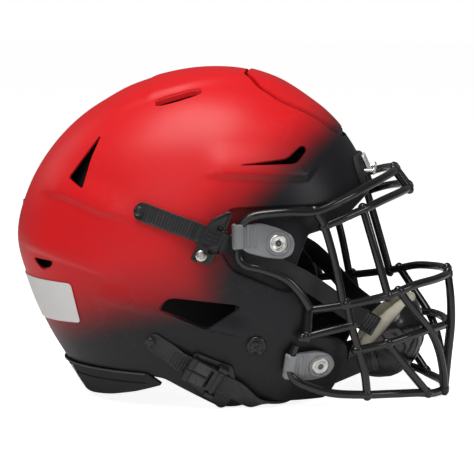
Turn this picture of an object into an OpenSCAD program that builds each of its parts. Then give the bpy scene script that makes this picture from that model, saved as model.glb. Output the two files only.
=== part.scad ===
// American football helmet with a welded wire face mask and a four-point chin strap.
// +X is forward, +Y is the helmet's left and +Z is up. The origin is on the floor, under the middle.

/* [Shell] */
// Half of the shell's width, at the ears
half_width = 122; // [120:1:124]
// Thickness of the shell's wall
shell_wall = 4; // [3.5:0.5:4.5]
// Depth of the recess round the upper clips
recess_depth = 6; // [5.5:0.5:6.5]
// Width of the groove round the flex panel
groove_w = 2.5; // [2:0.5:3]

/* [Padding] */
// Gap between the shell's outside and the pads' backs
pad_back = 10; // [9.5:0.5:11]
// Thickness of the head pads
pad_thick = 18; // [14:1:20]

/* [Face mask] */
// Radius of the coated mask wire
wire_r = 3.3; // [3:0.1:3.4]
// Sides of the wire's section
wire_sides = 8; // [8:2:12]

/* [Chin strap] */
// Width of the strap
strap_w = 15; // [12:1:16]
// Thickness of the strap
strap_t = 2.2; // [1.5:0.1:2.4]
// Half of the chin cup's width
cup_half_w = 46; // [42:1:47]

/* [Hidden] */

// Centre of the side profile, and the profile's radius every 15 degrees from the front over the top
centre = [-25, 130];
profile = [141, 141, 141, 140.5, 138.3, 137.3, 135.3, 134.5, 136.5, 141, 146, 151.5,
    156, 151.5, 151, 155, 168, 185, 195, 197, 190, 186, 176, 155];
round_exp = 2.3;  // roundness of the shell seen from the side
side_exp = 2.4;   // roundness of the shell seen from the front
// The shell in side view, as [x, z]: bottom edge, jaw, face opening and brow
side_outline = [[-210, 30], [-64, 28], [-50, 26], [-7, 3], [6, 3], [20, 6.5], [56, 6.5], [76, 7], [83, 19],
    [92, 38], [92, 47], [86, 54], [66, 58], [61, 70], [62, 82], [59, 94], [49, 105], [52, 115],
    [61, 140], [73, 143], [91, 153], [112, 172], [140, 172], [140, 290], [-210, 290]];
recess_outline = [[2, 161], [80, 163], [140, 163], [140, 94], [44, 95], [28, 102], [4, 112], [-4, 126], [-4, 148]];
rear_vent = [[-103, 215], [-110, 197], [-116, 173], [-128, 181]];
front_vent = [[10, 194], [46, 198], [57, 208], [61, 204], [53, 194]];
small_vent = [[-159, 116], [-141, 115], [-143, 110], [-151, 107]];
ear_vent = [[-53, 81], [-47, 89], [-40, 90], [8, 85], [11, 83], [-15, 66]];
neck_outline = [[-170, 29.4], [-64, 27.4], [-52, 19], [-74, 12], [-95, 7], [-115, 4], [-170, 4]];
label_outline = [[-170, 100], [-126, 98], [-119, 66], [-170, 62]];
// The flex panel's half outline in plan, as [x, y]
panel_half = [[8, 33], [22, 51], [38, 57], [51, 54], [67, 47], [80, 41], [87, 26], [90, 0]];
hinge_gap = 0.5;
upper_bolt = [38, 133];
lower_bolt = [70, 37];
screw_at = [23, 52];
upper_buckle = [-12, 138.5];
lower_buckle = [-17, 30];
washer_r = 6.7;
pin_r = 2.2;
cup_centre = [118, 0, 52];
cup_size = [39, cup_half_w, 42];
cup_wall = 3;
cup_tilt = 41;
valve_at = [-178.3, 152];

function mix(a, b, f) = a + (b - a) * f;
function unit(v) = v / norm(v);
function wave(a, b, c, d, f) = b + f / 2 * (c - a + f * (2 * a - 5 * b + 4 * c - d + f * (3 * (b - c) + d - a)));
function reach(phi) = let (u = ((phi % 360) + 360) % 360 / 15, i = floor(u))
    wave(profile[(i + 23) % 24], profile[i], profile[(i + 1) % 24], profile[(i + 2) % 24], u - i);
function power(v, e) = sign(v) * pow(abs(v), e);
// A point of the shell's surface, sunk by off: phi runs round the profile, t across it
function skin_at(phi, t, off) = let (r = (reach(phi) - off) * power(cos(t), 2 / round_exp))
    [centre.x + r * cos(phi), (half_width - off) * power(sin(t), 2 / side_exp), centre.y + r * sin(phi)];
// Distance from the middle plane to the shell's surface, sunk by off, at a place in side view
function side_y(x, z, off) = let (d = [x, z] - centre, r = norm(d) / (reach(atan2(d.y, d.x)) - off))
    r >= 1 ? 0 : (half_width - off) * pow(1 - pow(r, round_exp), 1 / side_exp);
function lean_x(x, z) = atan((side_y(x - 1, z, 0) - side_y(x + 1, z, 0)) / 2);
function lean_z(x, z) = atan((side_y(x, z + 1, 0) - side_y(x, z - 1, 0)) / 2);

module skin(off, around = 48, across = 22) {
    ring = [for (j = [1 : across - 1]) for (i = [0 : around - 1])
        skin_at(i * 360 / around, -90 + 180 * j / across, off)];
    last = len(ring);
    points = concat(ring, [[centre.x, off - half_width, centre.y], [centre.x, half_width - off, centre.y]]);
    function at(i, j) = (j - 1) * around + (i % around);
    faces = concat(
        [for (j = [1 : across - 2]) for (i = [0 : around - 1]) [at(i, j), at(i + 1, j), at(i + 1, j + 1)]],
        [for (j = [1 : across - 2]) for (i = [0 : around - 1]) [at(i, j), at(i + 1, j + 1), at(i, j + 1)]],
        [for (i = [0 : around - 1]) [last, at(i + 1, 1), at(i, 1)]],
        [for (i = [0 : around - 1]) [at(i, across - 1), at(i + 1, across - 1), last + 1]]);
    polyhedron(points, faces, convexity = 6);
}
module layer(outer, inner) { difference() { skin(outer); skin(inner); } }
// An outline in side view, carried across the helmet from y0 to y1
module side_prism(outline, y0 = -150, y1 = 150) {
    translate([0, y1, 0]) rotate([90, 0, 0]) linear_extrude(y1 - y0, convexity = 6) polygon(outline);
}
module block(low, high) { translate(low) cube(high - low); }
// Makes its children one plain mesh
module meshed() { resize([0, 0, 0]) children(); }
module left() { mirror([0, 1, 0]) children(); }
module pair() { children(); left() children(); }
// The right side of the shell at [x, z]: local +Z points outwards, and local +Y up
module on_side(at, off = 0) {
    translate([at.x, -side_y(at.x, at.y, off), at.y]) rotate([0, 0, lean_x(at.x, at.y)])
        rotate([90 + lean_z(at.x, at.y), 0, 0]) children();
}
function panel_outline() = concat(panel_half, [for (i = [len(panel_half) - 2 : -1 : 0])
    [panel_half[i].x, -panel_half[i].y]]);
module panel_prism(grow, low = 150) {
    translate([0, 0, low]) linear_extrude(140) offset(delta = grow) polygon(panel_outline());
}

module shell() {
    color("firebrick") meshed() difference() {
        union() {
            intersection() { layer(0, shell_wall); side_prism(side_outline); }
            intersection() {
                layer(0, recess_depth + shell_wall);
                side_prism(side_outline);
                difference() {
                    side_prism([for (p = recess_outline) p + [p.x < 10 ? -4 : 0, p.y > 150 ? 4 : -4]]);
                    block([-20, -76, 80], [150, 76, 190]);
                }
            }
        }
        difference() { side_prism(recess_outline); skin(recess_depth); block([-10, -80, 90], [150, 80, 180]); }
        difference() { panel_prism(0); block([-10, -60, 150], [8, 60, 290]); }
        for (outline = [rear_vent, front_vent, small_vent, ear_vent])
            pair() side_prism(outline, -150, -40);
        pair() hull() for (p = [[-58, -72], [-26, -68]])
            translate([p.x, p.y, 200]) cylinder(80, r = 4, $fn = 24);
        pair() {
            on_side(upper_bolt, recess_depth) translate([0, 0, -20]) cylinder(30, r = 4.2, $fn = 32);
            on_side(lower_bolt) translate([0, 0, -20]) cylinder(30, r = 4.2, $fn = 32);
            on_side(screw_at) translate([0, 0, -20]) cylinder(30, r = 3.2, $fn = 32);
            in_upper_buckle() translate([buckle_screw.x, buckle_screw.y, -20]) cylinder(30, r = 2.4, $fn = 24);
        }
        translate([valve_at.x - 20, 0, valve_at.y]) rotate([0, 90, 0]) cylinder(40, r = 5.4, $fn = 32);
    }
}
module flex_panel() {
    color("firebrick") meshed() intersection() {
        layer(0, shell_wall);
        panel_prism(-groove_w);
        block([8 + hinge_gap, -70, 150], [150, 70, 290]);
    }
}
module front_bumper() {
    color("black") meshed() difference() {
        intersection() { layer(-3.4, -0.4); block([80, -44, 171], [150, 44, 197]); }
        pair() translate([80, -27, 184]) rotate([0, 90, 0]) cylinder(60, r = 1.9, $fn = 24);
        for (y = [-12, 8]) block([80, y, 176], [150, y + 4, 181]);
    }
}
module front_bumper_screws() {
    color("silver") pair() translate([104, -27, 184]) rotate([0, 90, 0]) {
        cylinder(9, r = 1.6, $fn = 24);
        translate([0, 0, 9]) cylinder(2, r = 3.4, $fn = 32);
    }
}
module nameplate() {
    color("white") meshed() intersection() { layer(-5.4, -3.8); block([80, -20, 183], [150, 20, 196]); }
}
module neck_bumper() {
    color("black") meshed() difference() {
        intersection() { layer(-2, 6.5); side_prism(neck_outline); }
        neck_slots(0.4);
    }
}
module neck_slots(grow) {
    intersection() {
        layer(-4, 0.6 + grow);
        for (x = [-132, -123]) translate([x, -130, 0]) rotate([0, -22, 0])
            block([-1.6 - grow, 0, 6], [1.6 + grow, 260, 27]);
    }
}
module neck_bumper_inserts() {
    color("white") meshed() intersection() { neck_slots(0); layer(-2.4, 0.5); }
}
module rear_label() {
    color("white") meshed() intersection() {
        layer(-1, -0.4);
        side_prism(label_outline);
        translate([-200, -150, 0]) cube([80, 300, 120]);
    }
}
module inflation_valve() {
    color("black") translate([valve_at.x, 0, valve_at.y]) rotate([0, 90, 0])
        difference() {
            union() { cylinder(14, r = 5, $fn = 48); translate([0, 0, 8]) cylinder(3, r = 7, $fn = 48); }
            translate([0, 0, -1]) cylinder(13, r = 1.5, $fn = 32);
        }
}
module pad(low, high) {
    color("dimgray") meshed() intersection() { layer(pad_back, pad_back + pad_thick); block(low, high); }
}
module crown_pad() { pad([-92, -58, 205], [30, 58, 270]); }
module front_pad() { pad([37, -72, 178], [150, 72, 240]); }
module back_pad() {
    color("dimgray") meshed() difference() {
        intersection() { layer(pad_back, pad_back + pad_thick); block([-200, -72, 98], [-97, 72, 205]); }
        translate([-190, 0, valve_at.y]) rotate([0, 90, 0]) cylinder(50, r = 8, $fn = 32);
    }
}
module neck_pad() { pad([-200, -64, 40], [-92, 64, 93]); }
module side_pad_right() { pad([-88, -130, 112], [12, -64, 203]); }
module side_pad_left() { left() side_pad_right(); }
module jaw_pad_right() {
    color("dimgray") meshed() intersection() {
        layer(7, 21);
        side_prism([[-2, 14], [46, 14], [55, 24], [54, 54], [48, 88], [4, 88]], -130, -40);
    }
}
module jaw_pad_left() { left() jaw_pad_right(); }
module jaw_screws() {
    color("black") pair() on_side(screw_at) {
        translate([0, 0, 0.6]) cylinder(2.4, r = 8, $fn = 48);
        translate([0, 0, -6]) cylinder(6.7, r = 2.8, $fn = 32);
    }
}

// Face mask: distance of a bar from the middle plane at x, with its front at x = front
function bar_y(x, front, spread) = let (f = max(x - 10, 0) / (front - 10))
    f >= 1 ? 0 : spread * pow(1 - pow(f, 2.2), 1 / 2.2);
// A bar from the right side round the front to the left, from its places in side view
function u_bar(side, spread) = let (n = len(side) - 1, front = side[n].x,
        half = [for (p = side) [p.x, -bar_y(p.x, front, spread), p.y]])
    concat(half, [for (i = [n - 1 : -1 : 0]) [half[i].x, -half[i].y, half[i].z]]);
function heading(path, i) = let (n = len(path) - 1) unit(path[min(i + 1, n)] - path[max(i - 1, 0)]);
function carried(u, t) = unit(u - (u * t) * t);
function turning(path, i, u) = let (v = carried(u, heading(path, i)))
    i == len(path) - 1 ? [v] : concat([v], turning(path, i + 1, v));
// A round wire along a path, as one mesh
module wire(path) {
    n = len(path);
    t0 = heading(path, 0);
    sides = turning(path, 0, abs(t0.y) < 0.8 ? [0, 1, 0] : [0, 0, 1]);
    points = [for (i = [0 : n - 1]) for (k = [0 : wire_sides - 1])
        let (a = 360 * k / wire_sides, w = cross(heading(path, i), sides[i]))
        path[i] + wire_r * (sides[i] * cos(a) + w * sin(a))];
    faces = concat(
        [for (i = [0 : n - 2]) for (k = [0 : wire_sides - 1]) let (m = (k + 1) % wire_sides)
            each [[i * wire_sides + k, (i + 1) * wire_sides + k, (i + 1) * wire_sides + m],
                [i * wire_sides + k, (i + 1) * wire_sides + m, i * wire_sides + m]]],
        [[for (k = [0 : wire_sides - 1]) k], [for (k = [wire_sides - 1 : -1 : 0]) (n - 1) * wire_sides + k]]);
    polyhedron(points, faces, convexity = 8);
}
brow_side = [[65, 82], [57, 95], [46, 106], [29, 113], [15, 116.5], [9.5, 124], [9.5, 142], [14, 151],
    [24, 156], [45, 158], [69, 158], [89, 166], [108, 175], [120, 180], [128, 183], [131, 184]];
lower_brow_side = [[76, 146], [104, 157], [122, 164], [135, 168], [140, 169], [142, 169]];
middle_side = [[63, 80], [89, 83], [109, 86], [128, 90], [148, 96], [163, 98], [172, 99], [175, 99]];
chin_side = [[102, 47], [125, 51], [147, 56], [160, 58], [169, 58], [174, 57]];
bottom_side = [[54, 52], [49, 39], [50, 29], [58, 22], [80, 14], [107, 11], [127, 10], [149, 8],
    [161, 5], [170, 3.4], [173, 3.3]];
function lower_y(x) = bar_y(x, 175, 112);
module mask_brow_bar() { color("black") wire(u_bar(brow_side, 121.5)); }
module mask_lower_brow_bar() { color("black") wire(u_bar(lower_brow_side, 116)); }
module mask_middle_bar() { color("black") wire(u_bar(middle_side, 112)); }
module mask_chin_bar() { color("black") wire(u_bar(chin_side, 112)); }
module mask_bottom_bar() { color("black") wire(u_bar(bottom_side, 112)); }
module mask_uprights() {
    color("black") pair() {
        wire([[69, -108, 158], [76, -104.5, 146], [84, -102.5, 118], [91, -100.5, 84]]);
        wire([[106, -84, 158], [116, -85.5, 124], [126, -84.5, 89]]);
    }
}
module mask_centre_bars() {
    color("black") pair() {
        wire([[130.5, -16, 183.5], [141.5, -16, 169]]);
        wire([[174.5, -16, 99], [177, -16, 78], [177.5, -16, 57], [175, -16, 30], [172.5, -16, 3.5]]);
    }
}
module mask_diagonals() {
    color("black") pair() {
        wire([for (p = [[135, 92], [147, 75], [160, 57], [167, 40], [171, 20], [172, 5]])
            [p.x, -bar_y(p.x, 176, 112), p.y]]);
        wire([for (p = [[126, 51], [141, 30], [158, 7]]) [p.x, -bar_y(p.x, 176, 112), p.y]]);
    }
}
module mask_side_bars() {
    color("black") pair() {
        wire([[94, -99.5, 84], [98, -99, 65], [103, -96.5, 47], [108, -94, 28], [110, -93, 11]]);
        wire([[60, -112, 59], [80, -106, 63.5], [98, -99, 67]]);
        wire([[64, -109, 80], [63, -112, 60]]);
    }
}

// Clips: outlines in the bolt's own plane, the bolt at their origin
upper_clip_outline = [[-35, 17], [-38, -1], [-24, -9], [-3, -13], [8, -11], [14, 0], [8, 11], [-9, 17]];
lower_clip_outline = [[-31, -8], [-31, 7], [-20, 12], [-4, 13.5], [8, 9.5], [13.5, 0], [9, -9.5], [-3, -13], [-20, -12.5]];
clip_low = 3.2;
module clip_body(outline, wire_dx, wire_up) {
    difference() {
        intersection() {
            translate([0, 0, clip_low]) linear_extrude(12) offset(r = 2, $fn = 24) offset(delta = -2) polygon(outline);
            rotate([90, 0, 0]) translate([0, 0, -30]) linear_extrude(60)
                polygon([[wire_dx - 6, clip_low], [18, clip_low], [18, 8], [wire_dx + 12, 8.5],
                    [wire_dx + 5, wire_up + 6], [wire_dx - 4, wire_up + 6], [wire_dx - 6, wire_up + 3]]);
        }
        cylinder(40, r = 4.2, center = true, $fn = 32);
        translate([0, 0, 6]) cylinder(10, r = washer_r + 0.3, $fn = 48);
    }
}
module upper_clip_right() {
    color([0.4, 0.4, 0.42, 0.7]) meshed() difference() {
        on_side(upper_bolt, recess_depth) clip_body(upper_clip_outline, -31.6, 5);
        wire_room(brow_side, 121.5);
    }
}
module upper_clip_left() { left() upper_clip_right(); }
module lower_clip_right() {
    color([0.4, 0.4, 0.42, 0.7]) meshed() difference() {
        on_side(lower_bolt) clip_body(lower_clip_outline, -24.8, 4.5);
        wire_room(bottom_side, 112);
    }
}
module lower_clip_left() { left() lower_clip_right(); }
module wire_room(side, spread) {
    path = u_bar(side, spread);
    for (i = [0 : 9]) hull() for (p = [path[i], path[i + 1]]) translate(p) sphere(wire_r + 0.4, $fn = 16);
}
module each_bolt() {
    pair() {
        on_side(upper_bolt, recess_depth) children();
        on_side(lower_bolt) children();
    }
}
module clip_washers() {
    color("silver") each_bolt() translate([0, 0, 6.3]) rotate_extrude($fn = 48)
        polygon([[pin_r + 0.3, 0], [washer_r, 0], [washer_r, 1.6], [washer_r - 1, 2.4], [pin_r + 1.4, 1.7],
            [pin_r + 0.3, 1.7]]);
}
module clip_sleeves() {
    color("silver") each_bolt() rotate_extrude($fn = 48)
        polygon([[pin_r + 0.3, -8], [8, -8], [8, -6.6], [3.9, -5.6], [3.9, 6.1], [pin_r + 0.3, 6.1]]);
}
module release_pin() {
    color("gray") {
        translate([0, 0, -6]) cylinder(14.6, r = pin_r, $fn = 32);
        translate([0, 0, 8.6]) cylinder(0.6, r1 = pin_r, r2 = pin_r - 0.6, $fn = 32);
    }
}
module upper_pin_right() { on_side(upper_bolt, recess_depth) release_pin(); }
module upper_pin_left() { left() upper_pin_right(); }
module lower_pin_right() { on_side(lower_bolt) release_pin(); }
module lower_pin_left() { left() lower_pin_right(); }

// Upper buckles: local X along the strap towards the chin, local Y across it
module in_upper_buckle() { on_side(upper_buckle) rotate([0, 0, -22]) children(); }
upper_axis = [7, 0, 6.6];
buckle_screw = [-1.5, -16, 0];
module upper_buckle_base_right() {
    color("black") in_upper_buckle() difference() {
        union() {
            translate([0, 0, 0.6]) linear_extrude(1.4) polygon([[-9, -23], [9, -23], [9, 20], [-4, 20], [-11, 12], [-11, -12]]);
            for (s = [-1, 1]) translate([3, s * 9.8 - 1.5, 0.6]) cube([8, 3, 7.8]);
        }
        translate([0, 0, upper_axis.z]) translate([upper_axis.x, 0, 0]) rotate([90, 0, 0])
            cylinder(60, r = 1.3, center = true, $fn = 24);
        translate(buckle_screw) cylinder(10, r = 2.3, center = true, $fn = 24);
    }
}
module upper_buckle_base_left() { left() upper_buckle_base_right(); }
module upper_buckle_lever_right() {
    color("black") in_upper_buckle() difference() {
        union() {
            translate([0, 0, 7.6]) linear_extrude(2.4)
                polygon([[-8.5, -22.5], [9.5, -19], [10.5, -4], [10.5, 18], [8.5, 25], [-4, 20], [-6.5, 0]]);
            translate([upper_axis.x, 0, upper_axis.z]) rotate([90, 0, 0]) cylinder(15.8, r = 2, center = true, $fn = 32);
            translate([upper_axis.x - 1.6, -7.9, upper_axis.z]) cube([3.2, 15.8, 3.2]);
        }
        for (s = [-1, 1]) translate([1.5, s * 9.9 - 2, 7]) cube([12, 4, 4]);
        translate([buckle_screw.x, buckle_screw.y, 5]) cylinder(10, r = 5, $fn = 40);
        translate([upper_axis.x, 0, upper_axis.z]) rotate([90, 0, 0]) cylinder(60, r = 1.05, center = true, $fn = 24);
        translate([-3, -5, 9.2]) cube([7, 19, 3]);
    }
}
module upper_buckle_lever_left() { left() upper_buckle_lever_right(); }
module upper_buckle_screws() {
    color("silver") pair() in_upper_buckle() translate(buckle_screw) {
        translate([0, 0, -7]) cylinder(9.2, r = 2, $fn = 32);
        translate([0, 0, 2.2]) cylinder(2, r = 4.4, $fn = 48);
    }
}
module buckle_hinge_pins() {
    color("silver") pair() {
        in_upper_buckle() translate([upper_axis.x, 0, upper_axis.z]) rotate([90, 0, 0])
            cylinder(23.6, r = 1, center = true, $fn = 24);
        in_lower_buckle() translate([lower_axis.x, 0, lower_axis.z]) rotate([90, 0, 0])
            cylinder(29, r = 1, center = true, $fn = 24);
    }
}
// Lower buckles, with a ratchet lever hinged at its front end
module in_lower_buckle() { on_side(lower_buckle) rotate([0, 0, -30]) children(); }
lower_axis = [10, 0, 7.4];
module lower_buckle_base_right() {
    color("black") in_lower_buckle() difference() {
        union() {
            translate([0, 0, 0.9]) linear_extrude(1.5) polygon([[-14, -12], [24, -21], [28, -17], [27, 2], [16, 16], [-16, 12]]);
            for (s = [-1, 1]) translate([6, s * 12.5 - 2, 0.9]) cube([8, 4, 9.4]);
        }
        translate([lower_axis.x, 0, lower_axis.z]) rotate([90, 0, 0]) cylinder(60, r = 1.3, center = true, $fn = 24);
    }
}
module lower_buckle_base_left() { left() lower_buckle_base_right(); }
module lower_buckle_lever_right() {
    color("black") in_lower_buckle() difference() {
        union() {
            translate([-16, -10.2, 5.6]) cube([26, 20.4, 4.2]);
            translate([-16, -11, 9.8]) cube([5, 22, 1.4]);
            translate([lower_axis.x, 0, lower_axis.z]) rotate([90, 0, 0]) cylinder(20.4, r = 2.4, center = true, $fn = 32);
        }
        translate([lower_axis.x, 0, lower_axis.z]) rotate([90, 0, 0]) cylinder(60, r = 1.05, center = true, $fn = 24);
        translate([2, -8, 5]) cube([2.6, 16, 6]);
    }
}
module lower_buckle_lever_left() { left() lower_buckle_lever_right(); }

// Chin cup, a bowl that opens up and back, with a foam liner
module egg(grow) { translate(cup_centre) scale(cup_size + grow * [1, 1, 1]) sphere(1, $fn = 28); }
module cup_cut(shift) {
    translate(cup_centre) rotate([0, cup_tilt, 0]) translate([shift - 100, -100, -100]) cube([100, 200, 200]);
}
module chin_cup() {
    color("black") meshed() union() {
        difference() {
            egg(0);
            egg(-cup_wall);
            cup_cut(2);
        }
        pair() {
            translate([110, -cup_half_w + 1, 62]) rotate([0, 30, 0]) cube([14, 3, 16], center = true);
            translate([110, -cup_half_w + 3, 30]) rotate([0, -10, 0]) cube([14, 3, 16], center = true);
        }
    }
}
module chin_cup_pad() {
    color("beige") meshed() difference() {
        egg(-cup_wall - 0.4);
        egg(-cup_wall - 8);
        cup_cut(-2);
    }
}

// Straps: a flat strip along points of [place, outward direction], as one mesh
module strip(route) {
    n = len(route);
    path = [for (q = route) q[0]];
    points = [for (i = [0 : n - 1]) let (t = heading(path, i), up = carried(route[i][1], t), w = cross(t, up))
        each [for (c = [[-1, -1], [1, -1], [1, 1], [-1, 1]])
            path[i] + w * c.x * strap_w / 2 + up * c.y * strap_t / 2]];
    faces = concat(
        [for (i = [0 : n - 2]) for (k = [0 : 3]) let (m = (k + 1) % 4)
            each [[4 * i + k, 4 * i + 4 + m, 4 * i + 4 + k], [4 * i + k, 4 * i + m, 4 * i + 4 + m]]],
        [[0, 3, 2, 1], [4 * n - 4, 4 * n - 3, 4 * n - 2, 4 * n - 1]]);
    polyhedron(points, faces, convexity = 4);
}
function on_shell(x, z, off) = [[x, -side_y(x, z, off), z],
    [sin(lean_x(x, z)), -cos(lean_x(x, z)), -sin(lean_z(x, z))]];
strap_gap = strap_t / 2 + 0.6;
function flat(points, out) = [for (p = points) [p, out]];
upper_route = concat(
    [on_shell(-72, 160, -strap_gap), on_shell(-56, 154.5, -strap_gap), on_shell(-40, 148.8, -strap_gap - 0.5)],
    flat([[-28.5, -125.7, 145.3], [-21.1, -125.3, 142.3], [-2.9, -124.8, 135]], [0.04, -1, 0.03]),
    [for (p = [[3.6, 132.2, 3.6], [9, 130, 4.3], [16, 127.2, 4.4], [26, 122.4, 4.5], [38, 115.6, 4.6]])
        on_shell(p[0], p[1], p[2])],
    [[[49, -107.6, 109.5], [0.2, -1, 0]], [[60, -103.2, 103.2], [0.3, -1, 0]], [[74, -88, 92], [0.5, -1, 0]],
        [[88, -69, 79], [0.6, -1, 0]], [[98, -57.5, 71], [0.7, -1, 0]], [[106.5, -49, 65.3], [0.5, -1, 0]]]);
lower_route = concat(
    [on_shell(-63, 57, -strap_gap), on_shell(-46, 46.5, -strap_gap - 0.3)],
    flat([[-37.8, -117.5, 40.5], [-29.1, -116, 35.7], [-17, -114, 29], [-8.3, -112.6, 24.2], [0.3, -111.2, 19.4],
        [8.1, -110.1, 15]], [0, -0.96, -0.28]),
    [[[20, -101.6, 4.9], [0, -0.8, -1]], [[30, -92, 2.9], [0, -0.25, -1]], [[42, -80, 3.4], [0, -0.15, -1]],
        [[54, -70, 7.5], [0.3, -0.4, -1]], [[66, -63, 13.5], [0.4, -1, -0.6]], [[84, -56.5, 21.5], [0.4, -1, -0.2]],
        [[103, -48, 29], [0.3, -1, 0]]]);
module upper_strap_right() { color("black") strip(upper_route); }
module upper_strap_left() { left() upper_strap_right(); }
module lower_strap_right() { color("black") strip(lower_route); }
module lower_strap_left() { left() lower_strap_right(); }
module strap_end_snaps() {
    color("black") pair() {
        on_side([-68, 158]) translate([0, 0, strap_t + 1]) cylinder(1.6, r = 4.2, $fn = 40);
        on_side([-60, 55]) translate([0, 0, strap_t + 1]) cylinder(1.6, r = 4.2, $fn = 40);
    }
}

shell();
flex_panel();
front_bumper();
front_bumper_screws();
nameplate();
neck_bumper();
neck_bumper_inserts();
rear_label();
inflation_valve();
crown_pad();
front_pad();
back_pad();
neck_pad();
side_pad_right();
side_pad_left();
jaw_pad_right();
jaw_pad_left();
jaw_screws();
mask_brow_bar();
mask_lower_brow_bar();
mask_middle_bar();
mask_chin_bar();
mask_bottom_bar();
mask_uprights();
mask_centre_bars();
mask_diagonals();
mask_side_bars();
upper_clip_right();
upper_clip_left();
lower_clip_right();
lower_clip_left();
clip_washers();
clip_sleeves();
upper_pin_right();
upper_pin_left();
lower_pin_right();
lower_pin_left();
upper_buckle_base_right();
upper_buckle_base_left();
upper_buckle_lever_right();
upper_buckle_lever_left();
upper_buckle_screws();
buckle_hinge_pins();
lower_buckle_base_right();
lower_buckle_base_left();
lower_buckle_lever_right();
lower_buckle_lever_left();
chin_cup();
chin_cup_pad();
upper_strap_right();
upper_strap_left();
lower_strap_right();
lower_strap_left();
strap_end_snaps();
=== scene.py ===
"""American football helmet: painted shell, flex panel, wire mask, clips, buckles, straps, chin cup and padding.

Sizes are in millimetres until a piece is placed, because the shell's form is written that way; placing a
piece turns it into metres in the frame's own axes, +X forward, +Y to the wearer's left and +Z up.
"""
import logging
import math
from dataclasses import dataclass, field
from enum import Enum
from typing import Callable, Sequence

import bmesh
import bpy
import numpy as np
from mathutils import Matrix, Vector


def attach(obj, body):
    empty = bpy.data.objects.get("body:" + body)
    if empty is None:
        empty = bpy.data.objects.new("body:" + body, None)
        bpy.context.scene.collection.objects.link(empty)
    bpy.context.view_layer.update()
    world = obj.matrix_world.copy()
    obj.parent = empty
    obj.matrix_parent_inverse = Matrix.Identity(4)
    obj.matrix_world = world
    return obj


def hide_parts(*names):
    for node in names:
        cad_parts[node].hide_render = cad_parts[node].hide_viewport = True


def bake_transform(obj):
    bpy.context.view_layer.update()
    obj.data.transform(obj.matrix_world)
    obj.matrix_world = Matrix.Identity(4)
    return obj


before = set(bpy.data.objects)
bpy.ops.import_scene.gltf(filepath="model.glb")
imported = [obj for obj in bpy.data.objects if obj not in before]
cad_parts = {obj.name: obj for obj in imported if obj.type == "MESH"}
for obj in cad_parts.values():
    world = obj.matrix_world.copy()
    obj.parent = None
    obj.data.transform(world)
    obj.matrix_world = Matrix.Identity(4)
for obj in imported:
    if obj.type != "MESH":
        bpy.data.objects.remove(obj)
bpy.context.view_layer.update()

LOG = logging.getLogger("helmet")
MM = 0.001
Point = tuple[float, ...]
Colour = tuple[float, float, float]


class Side(Enum):
    """The wearer's right or left side; the right is modelled and the left is its mirror."""

    RIGHT = -1
    LEFT = 1

    @property
    def word(self) -> str:
        """The side's name, as it ends a node's name."""
        return self.name.lower()


class Body(Enum):
    """The moving bodies that pieces ride on, without the side that ends their names."""

    ROOT = "root"
    PANEL = "flex_panel"
    CUP = "chin_cup"
    UPPER_LEVER = "upper_buckle_lever"
    LOWER_LEVER = "lower_buckle_lever"
    UPPER_PIN = "upper_pin"
    LOWER_PIN = "lower_pin"

    def on(self, side: Side) -> str:
        """The body's full name on one side."""
        return f"{self.value}_{side.word}"


# ---------------------------------------------------------------- numbers and curves


def smooth(low: float, high: float, value: np.ndarray) -> np.ndarray:
    """A soft step from 0 at low to 1 at high.

    Args:
        low: Value where the step starts.
        high: Value where it ends; it may be below low.
        value: Where to read it.

    Returns:
        The step, from 0 to 1.
    """
    f = np.clip((value - low) / (high - low), 0.0, 1.0)
    return f * f * (3 - 2 * f)


def spline(points: Sequence[Point], closed: bool = False, steps: int = 8) -> np.ndarray:
    """A smooth curve through points.

    Args:
        points: The places that it passes through.
        closed: Whether it joins its own start.
        steps: Stretches between two places.

    Returns:
        One row for each place on the curve.
    """
    p = np.array(points, float)
    n = len(p)
    out = []
    for i in range(n if closed else n - 1):
        if closed:
            a, b, c, d = p[i - 1], p[i], p[(i + 1) % n], p[(i + 2) % n]
        else:
            b, c = p[i], p[i + 1]
            a = p[i - 1] if i else 2 * b - c
            d = p[i + 2] if i + 2 < n else 2 * c - b
        for f in np.arange(steps) / steps:
            out.append(b + f / 2 * (c - a + f * (2 * a - 5 * b + 4 * c - d + f * (3 * (b - c) + d - a))))
    if not closed:
        out.append(p[-1])
    return np.array(out)


def even(points: np.ndarray, step: float) -> np.ndarray:
    """The same line with its points an even distance apart.

    Args:
        points: The line.
        step: The distance wanted, in millimetres.

    Returns:
        The new points, with the line's own ends.
    """
    run = np.concatenate([[0.0], np.cumsum(np.linalg.norm(np.diff(points, axis=0), axis=1))])
    at = np.linspace(0, run[-1], max(2, int(round(run[-1] / step)) + 1))
    return np.stack([np.interp(at, run, points[:, k]) for k in range(points.shape[1])], axis=1)


def softened(outline: Sequence[Point], cut: float = 4.0) -> list[Point]:
    """An outline with its corners rounded.

    Args:
        outline: The closed outline's corners.
        cut: How far back from a corner its curve starts.

    Returns:
        The rounded outline.
    """
    out: list[Point] = []
    n = len(outline)
    for i in range(n):
        a, b, c = (np.array(outline[(i + k) % n], float) for k in (-1, 0, 1))
        before = b + (a - b) * min(0.45, cut / np.linalg.norm(a - b))
        after = b + (c - b) * min(0.45, cut / np.linalg.norm(c - b))
        for f in (0.0, 0.25, 0.5, 0.75, 1.0):
            out.append(tuple((1 - f) ** 2 * before + 2 * f * (1 - f) * b + f * f * after))
    return out


def unit_rows(rows: np.ndarray) -> np.ndarray:
    """Each row of an array as a direction of length one."""
    return rows / np.maximum(np.linalg.norm(rows, axis=1, keepdims=True), 1e-9)


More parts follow.
